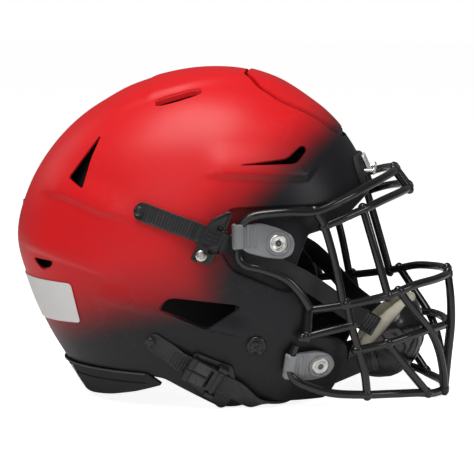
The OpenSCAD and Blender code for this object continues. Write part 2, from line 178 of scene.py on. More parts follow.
def grown(outline: Sequence[Point], by: float) -> list[Point]:
    """An outline moved outwards by a distance, or inwards where it is negative."""
    p = np.array(outline, float)
    area = np.sum(p[:, 0] * np.roll(p[:, 1], -1) - np.roll(p[:, 0], -1) * p[:, 1])
    turn = 1.0 if area > 0 else -1.0
    before, after = p - np.roll(p, 1, axis=0), np.roll(p, -1, axis=0) - p
    t = unit_rows(unit_rows(before) + unit_rows(after))
    return [tuple(q) for q in p + by * turn * np.stack([t[:, 1], -t[:, 0]], axis=1)]


# ---------------------------------------------------------------- the bench: operators on one piece at a time


def only(piece: bpy.types.Object) -> None:
    """Makes a piece the only one selected, and the active one."""
    bpy.ops.object.select_all(action="DESELECT")
    piece.select_set(True)
    bpy.context.view_layer.objects.active = piece


def from_faces(name: str, points: np.ndarray, faces: Sequence[Sequence[int]]) -> bpy.types.Object:
    """A piece from its own points and faces, for forms that no operator makes.

    Args:
        name: The piece's name.
        points: Its points, in millimetres.
        faces: Its faces, as indices that run anticlockwise seen from outside.

    Returns:
        The piece.
    """
    mesh = bpy.data.meshes.new(name)
    mesh.from_pydata([tuple(p) for p in points], [], [tuple(f) for f in faces])
    mesh.update()
    piece = bpy.data.objects.new(name, mesh)
    bpy.context.scene.collection.objects.link(piece)
    return piece


def outwards(piece: bpy.types.Object, merge: float = 1e-4) -> None:
    """Merges doubled points and turns all faces outwards."""
    only(piece)
    bpy.ops.object.mode_set(mode="EDIT")
    bpy.ops.mesh.select_all(action="SELECT")
    bpy.ops.mesh.remove_doubles(threshold=merge)
    bpy.ops.mesh.normals_make_consistent(inside=False)
    bpy.ops.object.mode_set(mode="OBJECT")


def modify(piece: bpy.types.Object, kind: str, **settings: object) -> bpy.types.Object:
    """Adds a modifier to a piece and applies it at once.

    Args:
        piece: The piece.
        kind: The modifier's type.
        settings: The modifier's own settings.

    Returns:
        The same piece.
    """
    only(piece)
    bpy.ops.object.modifier_add(type=kind)
    made = piece.modifiers[-1]
    for key, value in settings.items():
        setattr(made, key, value)
    bpy.ops.object.modifier_apply(modifier=made.name)
    return piece


def carve(piece: bpy.types.Object, cutter: bpy.types.Object, keep: bool = False,
          how: str = "DIFFERENCE") -> bpy.types.Object:
    """Cuts a piece with another, which is then thrown away.

    Args:
        piece: The piece that is cut.
        cutter: The piece that cuts it.
        keep: Whether the cutter is used again.
        how: DIFFERENCE, INTERSECT or UNION.

    Returns:
        The cut piece.
    """
    modify(piece, "BOOLEAN", operation=how, solver="MANIFOLD", object=cutter)
    piece.data.materials.clear()
    piece.data.polygons.foreach_set("material_index", np.zeros(len(piece.data.polygons), dtype=np.int32))
    if not keep:
        bpy.data.objects.remove(cutter, do_unlink=True)
    return piece


def joined(name: str, pieces: Sequence[bpy.types.Object]) -> bpy.types.Object:
    """Several pieces as one object under a new name."""
    only(pieces[0])
    for piece in pieces[1:]:
        piece.select_set(True)
    bpy.ops.object.join()
    pieces[0].name = pieces[0].data.name = name
    return pieces[0]


def slab(name: str, outline: Sequence[Point], low: float, high: float) -> bpy.types.Object:
    """A flat plate: an outline in X and Y, extruded from one height to another.

    Args:
        name: The piece's name.
        outline: Its corners.
        low: Height of its lower face.
        high: Height of its upper face.

    Returns:
        The closed plate.
    """
    bpy.ops.object.select_all(action="DESELECT")
    bpy.ops.mesh.primitive_circle_add(vertices=len(outline), radius=1, fill_type="NGON")
    piece = bpy.context.object
    piece.name = piece.data.name = name
    for vertex, (x, y) in zip(piece.data.vertices, outline):
        vertex.co = (x, y, low)
    bpy.ops.object.mode_set(mode="EDIT")
    bpy.ops.mesh.select_all(action="SELECT")
    bpy.ops.mesh.extrude_region_move(TRANSFORM_OT_translate={"value": (0, 0, high - low)})
    bpy.ops.mesh.select_all(action="SELECT")
    bpy.ops.mesh.normals_make_consistent(inside=False)
    bpy.ops.object.mode_set(mode="OBJECT")
    return piece


def rounded(piece: bpy.types.Object, radius: float, segments: int = 2, angle: float = 40.0) -> bpy.types.Object:
    """Rounds a piece's sharp edges."""
    return modify(piece, "BEVEL", width=radius, segments=segments, limit_method="ANGLE",
                  angle_limit=math.radians(angle), harden_normals=False, use_clamp_overlap=True)


def box(name: str, low: Point, high: Point, radius: float = 0.0) -> bpy.types.Object:
    """A block from its lowest to its highest corner, with rounded edges."""
    piece = slab(name, [(low[0], low[1]), (high[0], low[1]), (high[0], high[1]), (low[0], high[1])], low[2], high[2])
    return rounded(piece, radius) if radius else piece


def turned(name: str, profile: Sequence[Point], steps: int = 48) -> bpy.types.Object:
    """A piece turned round the Z axis from a closed profile of [radius, height].

    Args:
        name: The piece's name.
        profile: The corners of its closed section.
        steps: Steps round the axis.

    Returns:
        The closed piece.
    """
    n = len(profile)
    bpy.ops.object.select_all(action="DESELECT")
    bpy.ops.mesh.primitive_circle_add(vertices=n, radius=1, fill_type="NOTHING")
    piece = bpy.context.object
    piece.name = piece.data.name = name
    for vertex, (r, z) in zip(piece.data.vertices, profile):
        vertex.co = (r, 0, z)
    bpy.ops.object.mode_set(mode="EDIT")
    bpy.ops.mesh.select_all(action="SELECT")
    bpy.ops.mesh.spin(steps=steps, angle=2 * math.pi, center=(0, 0, 0), axis=(0, 0, 1))
    bpy.ops.object.mode_set(mode="OBJECT")
    outwards(piece, 1e-3)
    return piece


def swept(name: str, path: np.ndarray, radius: float, closed: bool = False, sides: int = 4) -> bpy.types.Object:
    """A round rod along a path, made as a bevelled curve and turned into a mesh.

    Args:
        name: The piece's name.
        path: Its centreline.
        radius: Its radius.
        closed: Whether it joins its own start.
        sides: The curve's bevel resolution.

    Returns:
        The rod.
    """
    curve = bpy.data.curves.new(name, "CURVE")
    curve.dimensions = "3D"
    line = curve.splines.new("POLY")
    line.points.add(len(path) - 1)
    for point, place in zip(line.points, path):
        point.co = (*place, 1.0)
    line.use_cyclic_u = closed
    curve.bevel_depth = radius
    curve.bevel_resolution = sides
    curve.use_fill_caps = not closed
    piece = bpy.data.objects.new(name, curve)
    bpy.context.scene.collection.objects.link(piece)
    only(piece)
    bpy.ops.object.convert(target="MESH")
    piece = bpy.context.object
    outwards(piece)
    return piece


def shaded(piece: bpy.types.Object, angle: float = 35.0) -> bpy.types.Object:
    """Smooths a piece's shading, but not across edges sharper than the angle."""
    only(piece)
    bpy.ops.object.shade_smooth_by_angle(angle=math.radians(angle))
    return piece


def mirrored(piece: bpy.types.Object, name: str) -> bpy.types.Object:
    """A piece's twin on the helmet's other side, with its own mesh."""
    twin = piece.copy()
    twin.data = piece.data.copy()
    twin.name = twin.data.name = name
    bpy.context.scene.collection.objects.link(twin)
    twin.data.transform(Matrix.Diagonal((1, -1, 1, 1)))
    twin.data.flip_normals()
    return twin


def ready(piece: bpy.types.Object, finish: "Finish", body: str, nodes: Sequence[str] = ()) -> bpy.types.Object:
    """Sets a finished piece in metres, dresses it and hangs it on its body.

    Args:
        piece: The piece, in millimetres.
        finish: What it is made of.
        body: The body that it moves with.
        nodes: The nodes that it stands for.

    Returns:
        The piece.
    """
    piece.data.transform(Matrix.Scale(MM, 4))
    if not piece.data.materials:
        piece.data.materials.append(finish.make())
    if nodes:
        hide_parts(*nodes)
    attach(piece, body)
    LOG.info("%s: %d faces on %s", piece.name, len(piece.data.polygons), body)
    return piece


# ---------------------------------------------------------------- finishes


class NodeBook:
    """The node groups that several finishes share, each built once."""

    made: dict[str, bpy.types.NodeTree] = {}

    @classmethod
    def _new(cls, name: str, inputs: Sequence[tuple[str, float]], outputs: Sequence[str]) -> bpy.types.NodeTree:
        """An empty group with named number inputs and outputs, and a place input."""
        tree = bpy.data.node_groups.new(name, "ShaderNodeTree")
        tree.interface.new_socket("Place", in_out="INPUT", socket_type="NodeSocketVector")
        for title, value in inputs:
            tree.interface.new_socket(title, in_out="INPUT", socket_type="NodeSocketFloat").default_value = value
        for title in outputs:
            tree.interface.new_socket(title, in_out="OUTPUT", socket_type="NodeSocketFloat")
        cls.made[name] = tree
        return tree

    @staticmethod
    def maths(tree: bpy.types.NodeTree, how: str, a: object, b: object = 0.0,
              clamp: bool = False) -> bpy.types.NodeSocket:
        """A Math node fed by sockets or numbers, and its result."""
        node = tree.nodes.new("ShaderNodeMath")
        node.operation, node.use_clamp = how, clamp
        for k, value in enumerate((a, b)):
            if isinstance(value, bpy.types.NodeSocket):
                tree.links.new(value, node.inputs[k])
            else:
                node.inputs[k].default_value = value
        return node.outputs[0]

    @classmethod
    def grain(cls) -> bpy.types.NodeTree:
        """Moulded or sprayed grain: a fine height and a broad mottle."""
        if "grain" in cls.made:
            return cls.made["grain"]
        tree = cls._new("grain", (("Scale", 600.0), ("Broad Scale", 25.0)), ("Height", "Mottle"))
        put, get = tree.nodes.new("NodeGroupOutput"), tree.nodes.new("NodeGroupInput")
        for title, scale, detail in (("Height", "Scale", 3.0), ("Mottle", "Broad Scale", 4.0)):
            noise = tree.nodes.new("ShaderNodeTexNoise")
            noise.inputs["Detail"].default_value = detail
            tree.links.new(get.outputs["Place"], noise.inputs["Vector"])
            tree.links.new(get.outputs[scale], noise.inputs["Scale"])
            tree.links.new(noise.outputs["Fac"], put.inputs[title])
        return tree

    @classmethod
    def scuffs(cls) -> bpy.types.NodeTree:
        """Sparse hair-thin handling marks, as a mask."""
        if "scuffs" in cls.made:
            return cls.made["scuffs"]
        tree = cls._new("scuffs", (("Scale", 40.0), ("Amount", 0.3)), ("Mask",))
        put, get = tree.nodes.new("NodeGroupOutput"), tree.nodes.new("NodeGroupInput")
        noise = tree.nodes.new("ShaderNodeTexNoise")
        noise.inputs["Detail"].default_value = 8.0
        noise.inputs["Distortion"].default_value = 1.6
        tree.links.new(get.outputs["Place"], noise.inputs["Vector"])
        tree.links.new(get.outputs["Scale"], noise.inputs["Scale"])
        line = cls.maths(tree, "ABSOLUTE", cls.maths(tree, "SUBTRACT", noise.outputs["Fac"], 0.5))
        thin = cls.maths(tree, "SUBTRACT", 1.0, cls.maths(tree, "MULTIPLY", line, 60.0), clamp=True)
        patch = tree.nodes.new("ShaderNodeTexNoise")
        patch.inputs["Scale"].default_value = 14.0
        tree.links.new(get.outputs["Place"], patch.inputs["Vector"])
        where = cls.maths(tree, "MULTIPLY", cls.maths(tree, "SUBTRACT", patch.outputs["Fac"], 0.52), 9.0, clamp=True)
        mask = cls.maths(tree, "MULTIPLY", cls.maths(tree, "MULTIPLY", thin, where), get.outputs["Amount"])
        tree.links.new(mask, put.inputs["Mask"])
        return tree

    @classmethod
    def fade(cls) -> bpy.types.NodeTree:
        """Where the sprayed dark colour lies over the red, towards the face, the jaw and the neck, and a wider deep
        red band round its edge that is partly the spray's own edge and partly painted shade.
        """
        if "fade" in cls.made:
            return cls.made["fade"]
        tree = cls._new("fade", (("Width", 0.036), ("Low Edge", 0.086)), ("Dark", "Deep"))
        put, get = tree.nodes.new("NodeGroupOutput"), tree.nodes.new("NodeGroupInput")
        split = tree.nodes.new("ShaderNodeSeparateXYZ")
        drift = tree.nodes.new("ShaderNodeTexNoise")
        drift.inputs["Scale"].default_value = 9.0
        tree.links.new(get.outputs["Place"], drift.inputs["Vector"])
        tree.links.new(get.outputs["Place"], split.inputs[0])
        wave = cls.maths(tree, "MULTIPLY", cls.maths(tree, "SUBTRACT", drift.outputs["Fac"], 0.5), 0.012)
        x, z = split.outputs["X"], split.outputs["Z"]
        height = cls.maths(tree, "DIVIDE", cls.maths(tree, "MAXIMUM", cls.maths(tree, "SUBTRACT", z, 0.080), 0.0),
                           0.142)
        bend = cls.maths(tree, "MULTIPLY", cls.maths(tree, "MULTIPLY", height, height), 0.099)
        edge = cls.maths(tree, "SUBTRACT", cls.maths(tree, "SUBTRACT", x, bend), -0.014)
        front = cls.maths(tree, "DIVIDE", cls.maths(tree, "ADD", edge, wave), get.outputs["Width"])
        back = cls.maths(tree, "MULTIPLY", cls.maths(tree, "MAXIMUM", cls.maths(tree, "SUBTRACT", -0.031, x), 0.0),
                         0.26)
        low = cls.maths(tree, "SUBTRACT", cls.maths(tree, "SUBTRACT", get.outputs["Low Edge"], back), z)
        under = cls.maths(tree, "DIVIDE", cls.maths(tree, "ADD", low, wave), 0.034)
        both = tree.nodes.new("ShaderNodeMath")
        both.operation = "SMOOTH_MAX"
        both.inputs[2].default_value = 0.5
        tree.links.new(front, both.inputs[0])
        tree.links.new(under, both.inputs[1])
        # the second band is wider: deep red round the dark edge, partly the spray's own edge and partly painted shade
        for title, shift, gain in (("Dark", 0.5, 1.0), ("Deep", 1.6, 0.55)):
            step = tree.nodes.new("ShaderNodeMapRange")
            step.interpolation_type = "SMOOTHSTEP"
            tree.links.new(cls.maths(tree, "MULTIPLY", cls.maths(tree, "ADD", both.outputs[0], shift), gain),
                           step.inputs["Value"])
            tree.links.new(step.outputs[0], put.inputs[title])
        return tree

    @classmethod
    def weave(cls) -> bpy.types.NodeTree:
        """A plain weave of crossed threads on a piece's own map, as a height."""
        if "weave" in cls.made:
            return cls.made["weave"]
        tree = cls._new("weave", (("Threads", 1.0),), ("Height",))
        put, get = tree.nodes.new("NodeGroupOutput"), tree.nodes.new("NodeGroupInput")
        split = tree.nodes.new("ShaderNodeSeparateXYZ")
        tree.links.new(get.outputs["Place"], split.inputs[0])
        waves = []
        for axis, phase in (("X", 0.0), ("Y", math.pi / 2)):
            turn = cls.maths(tree, "MULTIPLY", cls.maths(tree, "MULTIPLY", split.outputs[axis],
                                                         get.outputs["Threads"]), 2 * math.pi)
            waves.append(cls.maths(tree, "SINE", cls.maths(tree, "ADD", turn, phase)))
        crossed = cls.maths(tree, "MULTIPLY", waves[0], waves[1])
        tree.links.new(cls.maths(tree, "ADD", cls.maths(tree, "MULTIPLY", crossed, 0.5), 0.5), put.inputs["Height"])
        return tree


@dataclass(frozen=True)
class Finish:
    """What a piece is made of: colour, gloss and the texture of its surface."""

    name: str
    slot: str
    colour: Colour
    mottle: Colour
    roughness: float = 0.5
    spread: float = 0.10
    metallic: float = 0.0
    grain: float = 900.0
    broad: float = 30.0
    bump: float = 0.00006
    scuffs: float = 0.25
    coat: float = 0.0
    coat_roughness: float = 0.2
    specular: float = 0.5
    sheen: float = 0.0
    transmission: float = 0.0
    weave: float = 0.0

    def make(self) -> bpy.types.Material:
        """The finish as a material, built the first time that it is asked for.

        Returns:
            The material.
        """
        ready_made = bpy.data.materials.get(self.name)
        if ready_made:
            return ready_made
        material = bpy.data.materials.new(self.name)
        material.use_nodes = True
        tree = material.node_tree
        shader = tree.nodes["Principled BSDF"]
        shader.inputs["Metallic"].default_value = self.metallic
        shader.inputs["Coat Weight"].default_value = self.coat
        shader.inputs["Coat Roughness"].default_value = self.coat_roughness
        shader.inputs["Specular IOR Level"].default_value = self.specular
        shader.inputs["Sheen Weight"].default_value = self.sheen
        shader.inputs["Transmission Weight"].default_value = self.transmission
        place = tree.nodes.new("ShaderNodeTexCoord").outputs["Object"]
        texture = self._group(tree, NodeBook.grain(), place, Scale=self.grain, **{"Broad Scale": self.broad})
        marks = self._group(tree, NodeBook.scuffs(), place, Scale=38.0, Amount=self.scuffs)
        tree.links.new(self._colour(tree, place, texture.outputs["Mottle"], marks.outputs["Mask"]),
                       shader.inputs["Base Color"])
        rough = NodeBook.maths(tree, "MULTIPLY", NodeBook.maths(tree, "SUBTRACT", texture.outputs["Mottle"], 0.5),
                               self.spread * 2)
        rough = NodeBook.maths(tree, "ADD", rough, NodeBook.maths(tree, "MULTIPLY", marks.outputs["Mask"], 0.25))
        tree.links.new(NodeBook.maths(tree, "ADD", rough, self.roughness, clamp=True), shader.inputs["Roughness"])
        bump = tree.nodes.new("ShaderNodeBump")
        bump.inputs["Distance"].default_value = self.bump
        bump.inputs["Strength"].default_value = 0.8
        tree.links.new(self._height(tree, texture.outputs["Height"]), bump.inputs["Height"])
        tree.links.new(bump.outputs["Normal"], shader.inputs["Normal"])
        return material

    def _height(self, tree: bpy.types.NodeTree, grain: bpy.types.NodeSocket) -> bpy.types.NodeSocket:
        """The surface's height: its grain, and its weave where it has one."""
        if not self.weave:
            return grain
        own = tree.nodes.new("ShaderNodeUVMap").outputs["UV"]
        threads = self._group(tree, NodeBook.weave(), own, Threads=self.weave)
        return NodeBook.maths(tree, "ADD", threads.outputs["Height"], NodeBook.maths(tree, "MULTIPLY", grain, 0.35))

    @staticmethod
    def _group(tree: bpy.types.NodeTree, group: bpy.types.NodeTree, place: bpy.types.NodeSocket,
               **values: float) -> bpy.types.Node:
        """Places a shared group in a material with its own values."""
        node = tree.nodes.new("ShaderNodeGroup")
        node.node_tree = group
        tree.links.new(place, node.inputs["Place"])
        for title, value in values.items():
            node.inputs[title].default_value = value
        return node

    @staticmethod
    def _blend(tree: bpy.types.NodeTree, a: object, b: Colour,
               how_much: bpy.types.NodeSocket) -> bpy.types.NodeSocket:
        """Mixes two colours by a mask."""
        mix = tree.nodes.new("ShaderNodeMix")
        mix.data_type = "RGBA"
        if isinstance(a, bpy.types.NodeSocket):
            tree.links.new(a, mix.inputs[6])
        else:
            mix.inputs[6].default_value = (*a, 1.0)
        mix.inputs[7].default_value = (*b, 1.0)
        tree.links.new(how_much, mix.inputs[0])
        return mix.outputs[2]

    def _colour(self, tree: bpy.types.NodeTree, place: bpy.types.NodeSocket, mottle: bpy.types.NodeSocket,
                marks: bpy.types.NodeSocket) -> bpy.types.NodeSocket:
        """The colour over the surface."""
        pale = tuple(min(1.0, c * 1.5 + 0.05) for c in self.colour)
        return self._blend(tree, self._blend(tree, self.colour, self.mottle, mottle), pale, marks)


@dataclass(frozen=True)
class FadedPaint(Finish):
    """Satin paint that is sprayed from red to near black, through a deep red band that is partly the spray's own edge
    and partly painted shade.
    """

    # deep red of the band round the dark: partly the spray's own edge, partly painted shade
    deep: Colour = (0.28, 0.010, 0.014)
    dark: Colour = (0.012, 0.012, 0.015)

    def _colour(self, tree: bpy.types.NodeTree, place: bpy.types.NodeSocket, mottle: bpy.types.NodeSocket,
                marks: bpy.types.NodeSocket) -> bpy.types.NodeSocket:
        """The red, its deep edge, which is partly painted shade, and the dark over it."""
        fade = self._group(tree, NodeBook.fade(), place)
        red = self._blend(tree, self.colour, self.mottle, mottle)
        # the deep red band laid over the red is partly painted shade
        red = self._blend(tree, red, self.deep, fade.outputs["Deep"])
        return self._blend(tree, self._blend(tree, red, self.dark, fade.outputs["Dark"]), (0.30, 0.24, 0.24), marks)


class Finishes:
    """Every finish on the helmet."""

    PAINT = FadedPaint("satin_fade_paint", "shell_paint", (0.84, 0.012, 0.017), (0.76, 0.010, 0.014), roughness=0.40,
                       spread=0.03, grain=2600.0, bump=0.00002, scuffs=0.05, coat=0.05, coat_roughness=0.3,
                           specular=0.32)
    LINING = Finish("shell_inside_black", "black_plastic", (0.012, 0.012, 0.013), (0.020, 0.020, 0.021),
                    roughness=0.55)
    WIRE = Finish("satin_black_coating", "wire_coating", (0.010, 0.010, 0.011), (0.016, 0.016, 0.017), roughness=0.17,
                  spread=0.03, grain=500.0, bump=0.00003, coat=0.3, coat_roughness=0.08, scuffs=0.04)
    PLASTIC = Finish("moulded_black_plastic", "black_plastic", (0.013, 0.013, 0.014), (0.020, 0.020, 0.022),
                     roughness=0.27,
                     grain=1500.0, bump=0.00004)
    GREY_PLASTIC = Finish("moulded_grey_plastic", "black_plastic", (0.050, 0.052, 0.056), (0.075, 0.077, 0.082),
                          roughness=0.34,
                          grain=1500.0, bump=0.00008)
    RUBBER = Finish("bumper_rubber", "bumper_rubber", (0.020, 0.021, 0.023), (0.034, 0.035, 0.038), roughness=0.50,
                    grain=1200.0, bump=0.00012)
    SMOKED = Finish("smoked_clear_plastic", "smoked_plastic", (0.46, 0.47, 0.49), (0.52, 0.53, 0.55), roughness=0.10,
                    spread=0.02, transmission=0.45, bump=0.000005, scuffs=0.15, coat=0.6, coat_roughness=0.04)
    STEEL = Finish("bright_plated_steel", "bright_screw", (0.95, 0.93, 0.89), (0.86, 0.84, 0.80), roughness=0.34,
                   metallic=1.0, grain=3000.0, bump=0.00002, scuffs=0.6)
    DARK_STEEL = Finish("dark_plated_steel", "dark_steel", (0.22, 0.22, 0.24), (0.30, 0.30, 0.31), roughness=0.34,
                        metallic=1.0,
                        grain=3000.0, bump=0.00002, scuffs=0.5)
    CUP = Finish("gloss_black_cup", "cup_plastic", (0.010, 0.010, 0.011), (0.015, 0.015, 0.017), roughness=0.20,
                 spread=0.06,
                 grain=700.0, bump=0.00008, coat=0.5, coat_roughness=0.08, scuffs=0.4)
    FOAM = Finish("cream_foam", "cream_foam", (0.96, 0.92, 0.84), (0.90, 0.84, 0.74), roughness=0.85, grain=1400.0,
                  broad=90.0,
                  bump=0.00035, scuffs=0.0, sheen=0.25, specular=0.25)
    WEBBING = Finish("ribbed_black_webbing", "strap_webbing", (0.014, 0.014, 0.016), (0.030, 0.030, 0.033),
                     roughness=0.52,
                     bump=0.00020, weave=1.0, sheen=0.15)
    SKIN = Finish("pad_skin_black", "pad_skin", (0.016, 0.016, 0.018), (0.032, 0.032, 0.035), roughness=0.55,
                  grain=1100.0,
                  bump=0.00022, sheen=0.1, specular=0.4)
    LABEL = Finish("blank_paper_label", "pale_plate", (0.93, 0.93, 0.92), (0.86, 0.86, 0.85), roughness=0.62,
                   grain=1800.0,
                   bump=0.00003, scuffs=0.3)
    PLATE = Finish("pale_satin_plate", "pale_plate", (0.78, 0.78, 0.77), (0.70, 0.70, 0.69), roughness=0.38,
                   grain=1500.0,
                   bump=0.00003, scuffs=0.15)


# ---------------------------------------------------------------- the shell


@dataclass(frozen=True)
class ShellForm:
    """The rounded form that the shell, its bumpers and its pads share, in millimetres."""

    centre: Point = (-25.0, 130.0)
    half_width: float = 122.0
    round_side: float = 2.3
    round_front: float = 2.4
    profile: Point = (141, 141, 141, 140.5, 138.3, 137.3, 135.3, 134.5, 136.5, 141, 146, 151.5, 156, 151.5, 151,
                      155, 168,
                      185, 195, 197, 190, 186, 176, 155)
    band_lift: float = 2.2
    creases: tuple = (
        (((-26, 189), (20, 187), (60, 185), (74, 202)), 2.6, 6.0, 26.0),
        (((-158, 172), (-128, 169), (-96, 158), (-70, 153)), 2.2, 7.0, 24.0),
        (((-176, 128), (-150, 124), (-114, 115), (-84, 104)), 2.4, 6.0, 22.0),
        (((-112, 92), (-92, 87), (-53, 79), (-2, 66), (28, 58)), 2.6, 6.0, 16.0),
    )

    def reach(self, angle: np.ndarray) -> np.ndarray:
        """The profile's radius at an angle round it, in radians."""
        turn = (np.degrees(angle) % 360) / 15
        i = np.floor(turn).astype(int) % 24
        f = turn - np.floor(turn)
        p = np.array(self.profile, float)
        a, b, c, d = p[(i + 23) % 24], p[i], p[(i + 1) % 24], p[(i + 2) % 24]
        return b + f / 2 * (c - a + f * (2 * a - 5 * b + 4 * c - d + f * (3 * (b - c) + d - a)))

    def side_y(self, x: float, z: float, off: float = 0.0) -> float:
        """Distance from the middle plane to the surface sunk by off, at a place in side view."""
        dx, dz = x - self.centre[0], z - self.centre[1]
        r = math.hypot(dx, dz) / (float(self.reach(np.array(math.atan2(dz, dx)))) - off)
        return 0.0 if r >= 1 else (self.half_width - off) * (1 - r ** self.round_side) ** (1 / self.round_front)

    def place(self, x: float, z: float, off: float = 0.0, turn: float = 0.0) -> Matrix:
        """The right side's own axes at a place: local Z points outwards and local Y up.

        Args:
            x: Place along the helmet.
            z: Height.
            off: How far the place is sunk.
            turn: Degrees that the axes are turned about local Z.

        Returns:
            The matrix from local to helmet axes, in millimetres.
        """
        lean = math.atan((self.side_y(x - 1, z) - self.side_y(x + 1, z)) / 2)
        tilt = math.atan((self.side_y(x, z + 1) - self.side_y(x, z - 1)) / 2)
        return (Matrix.Translation((x, -self.side_y(x, z, off), z)) @ Matrix.Rotation(lean, 4, "Z")
                @ Matrix.Rotation(math.pi / 2 + tilt, 4, "X") @ Matrix.Rotation(math.radians(turn), 4, "Z"))

    def _crease(self, x: np.ndarray, z: np.ndarray, line: Sequence[Point], height: float, under: float,
                over: float) -> np.ndarray:
        """A raised fold along a line in side view, short below it and long above it."""
        best = np.full(x.shape, 1e9)
        lift = np.zeros(x.shape)
        run, total = 0.0, sum(math.dist(line[k], line[k + 1]) for k in range(len(line) - 1))
        for (x0, z0), (x1, z1) in zip(line, line[1:]):
            long = math.hypot(x1 - x0, z1 - z0)
            ux, uz = (x1 - x0) / long, (z1 - z0) / long
            along = (x - x0) * ux + (z - z0) * uz
            near = np.clip(along, 0, long)
            away = np.hypot(x - x0 - near * ux, z - z0 - near * uz)
            above = (z - z0) * ux - (x - x0) * uz > 0
            ends = np.minimum(smooth(0, 26, run + near), smooth(total, total - 26, run + near))
            value = height * ends * np.where(above, 1 - smooth(0, over, away), 1 - smooth(0, under, away))
            lift = np.where(away < best, value, lift)
            best = np.minimum(best, away)
            run += long
        return lift

    def relief(self, x: np.ndarray, y: np.ndarray, z: np.ndarray) -> np.ndarray:
        """How far the outside stands above the plain form: the crown band and the moulded creases."""
        a = np.abs(y)
        inner = np.interp(x, [-112, -95, -42, -12, 8, 40], [66, 62, 58, 46, 36, 30])
        band = 1 - smooth(0, 1, (a - inner) / np.interp(x, [-112, -42, -12, 40], [12, 9, 16, 18]))
        along = 0.55 * smooth(-112, -86, x) + 0.45 * smooth(-72, -64, x)
        lift = self.band_lift * band * along * (1 - smooth(30, 66, x)) * smooth(206, 224, z)
        side = smooth(40, 70, a)
        for line, height, under, over in self.creases:
            lift = lift + side * self._crease(x, z, line, height, under, over)
        return lift

    def surface(self, angle: np.ndarray, across: np.ndarray, off: float = 0.0, raised: bool = True) -> np.ndarray:
        """Points of the surface sunk by off.

        Args:
            angle: Angle round the profile, in radians.
            across: Angle from the middle plane, in radians.
            off: How far the surface is sunk.
            raised: Whether the crown band and creases are on it.

        Returns:
            One row for each point.
        """
        def at(sink: float | np.ndarray) -> np.ndarray:
            """The places sunk by one depth, or by a depth for each."""
            r = (self.reach(angle) - sink) * np.abs(np.cos(across)) ** (2 / self.round_side)
            y = (self.half_width - sink) * np.sign(np.sin(across)) * np.abs(np.sin(across)) ** (2 / self.round_front)
            return np.stack([self.centre[0] + r * np.cos(angle), y, self.centre[1] + r * np.sin(angle)], axis=-1)
        plain = at(off)
        return at(off - self.relief(plain[..., 0], plain[..., 1], plain[..., 2])) if raised else plain

    def solid(self, name: str, off: float, around: int, across: int, raised: bool = False) -> bpy.types.Object:
        """The closed form sunk by off, as an even grid."""
        i, j = np.meshgrid(np.arange(around), np.arange(1, across), indexing="xy")
        ring = self.surface(2 * np.pi * i / around, -np.pi / 2 + np.pi * j / across, off, raised).reshape(-1, 3)
        w = self.half_width - off
        points = np.concatenate([ring, [[self.centre[0], -w, self.centre[1]], [self.centre[0], w, self.centre[1]]]])

        def at(u: int, v: int) -> int:
            """The number of the point in column u of row v."""
            return (v - 1) * around + u % around

        faces = [(at(u, v), at(u, v + 1), at(u + 1, v + 1), at(u + 1, v)) for v in range(1,
                across - 1) for u in range(around)]
        faces += [(len(ring), at(u, 1), at(u + 1, 1)) for u in range(around)]
        faces += [(len(ring) + 1, at(u + 1, across - 1), at(u, across - 1)) for u in range(around)]
        piece = from_faces(name, points, faces)
        outwards(piece)
        return piece

    def dress_normals(self, piece: bpy.types.Object, rise: float = 0.0) -> None:
        """Gives the faces that lie on the form the form's own exact normals, so cuts leave no dents in its shine.

        Args:
            piece: The piece, in millimetres.
            rise: How far its outside stands above the form.
        """
        mesh = piece.data
        n = len(mesh.vertices)
        co = np.empty(n * 3)
        mesh.vertices.foreach_get("co", co)
        co = co.reshape(-1, 3)
        d = co - np.array([self.centre[0], 0, self.centre[1]])
        angle = np.arctan2(d[:, 2], d[:, 0])
        out = np.hypot(d[:, 0], d[:, 2]) / self.reach(angle)
        wide = np.abs(d[:, 1]) / self.half_width
        level = out ** self.round_side + wide ** self.round_front
        across = np.arctan2(np.sign(d[:, 1]) * wide ** (self.round_front / 2), out ** (self.round_side / 2))

        def normals(raised: bool) -> np.ndarray:
            """The surface's own directions outwards, from small steps both ways."""
            e, f = 0.006, 0.006
            low, high = np.clip(across - f, -1.56, 1.56), np.clip(across + f, -1.56, 1.56)
            du = self.surface(angle + e, across, -rise, raised) - self.surface(angle - e, across, -rise, raised)
            dv = self.surface(angle, high, -rise, raised) - self.surface(angle, low, -rise, raised)
            m = np.cross(dv, du)
            m *= np.sign(np.sum(m * d, axis=1, keepdims=True))
            return m / np.maximum(np.linalg.norm(m, axis=1, keepdims=True), 1e-9)
        raised_n, plain_n = normals(True), normals(False)
        faces, loops = len(mesh.polygons), len(mesh.loops)
        face_n, of_loop, start, count = np.empty(faces * 3), np.empty(loops, int), np.empty(faces,
                int), np.empty(faces, int)
        mesh.polygons.foreach_get("normal", face_n)
        mesh.polygons.foreach_get("loop_start", start)
        mesh.polygons.foreach_get("loop_total", count)
        mesh.loops.foreach_get("vertex_index", of_loop)
        face_of = np.repeat(np.arange(faces), count)
        face_n = face_n.reshape(-1, 3)[face_of]
        outer = level[of_loop] > 0.955
        n_loop = np.where(outer[:, None], raised_n[of_loop], plain_n[of_loop])
        dot = np.sum(n_loop * face_n, axis=1)
        result = np.where((np.abs(dot) > 0.86)[:, None], n_loop * np.sign(dot)[:, None], face_n)
        only(piece)
        bpy.ops.object.shade_smooth()
        mesh.normals_split_custom_set([tuple(v) for v in result])


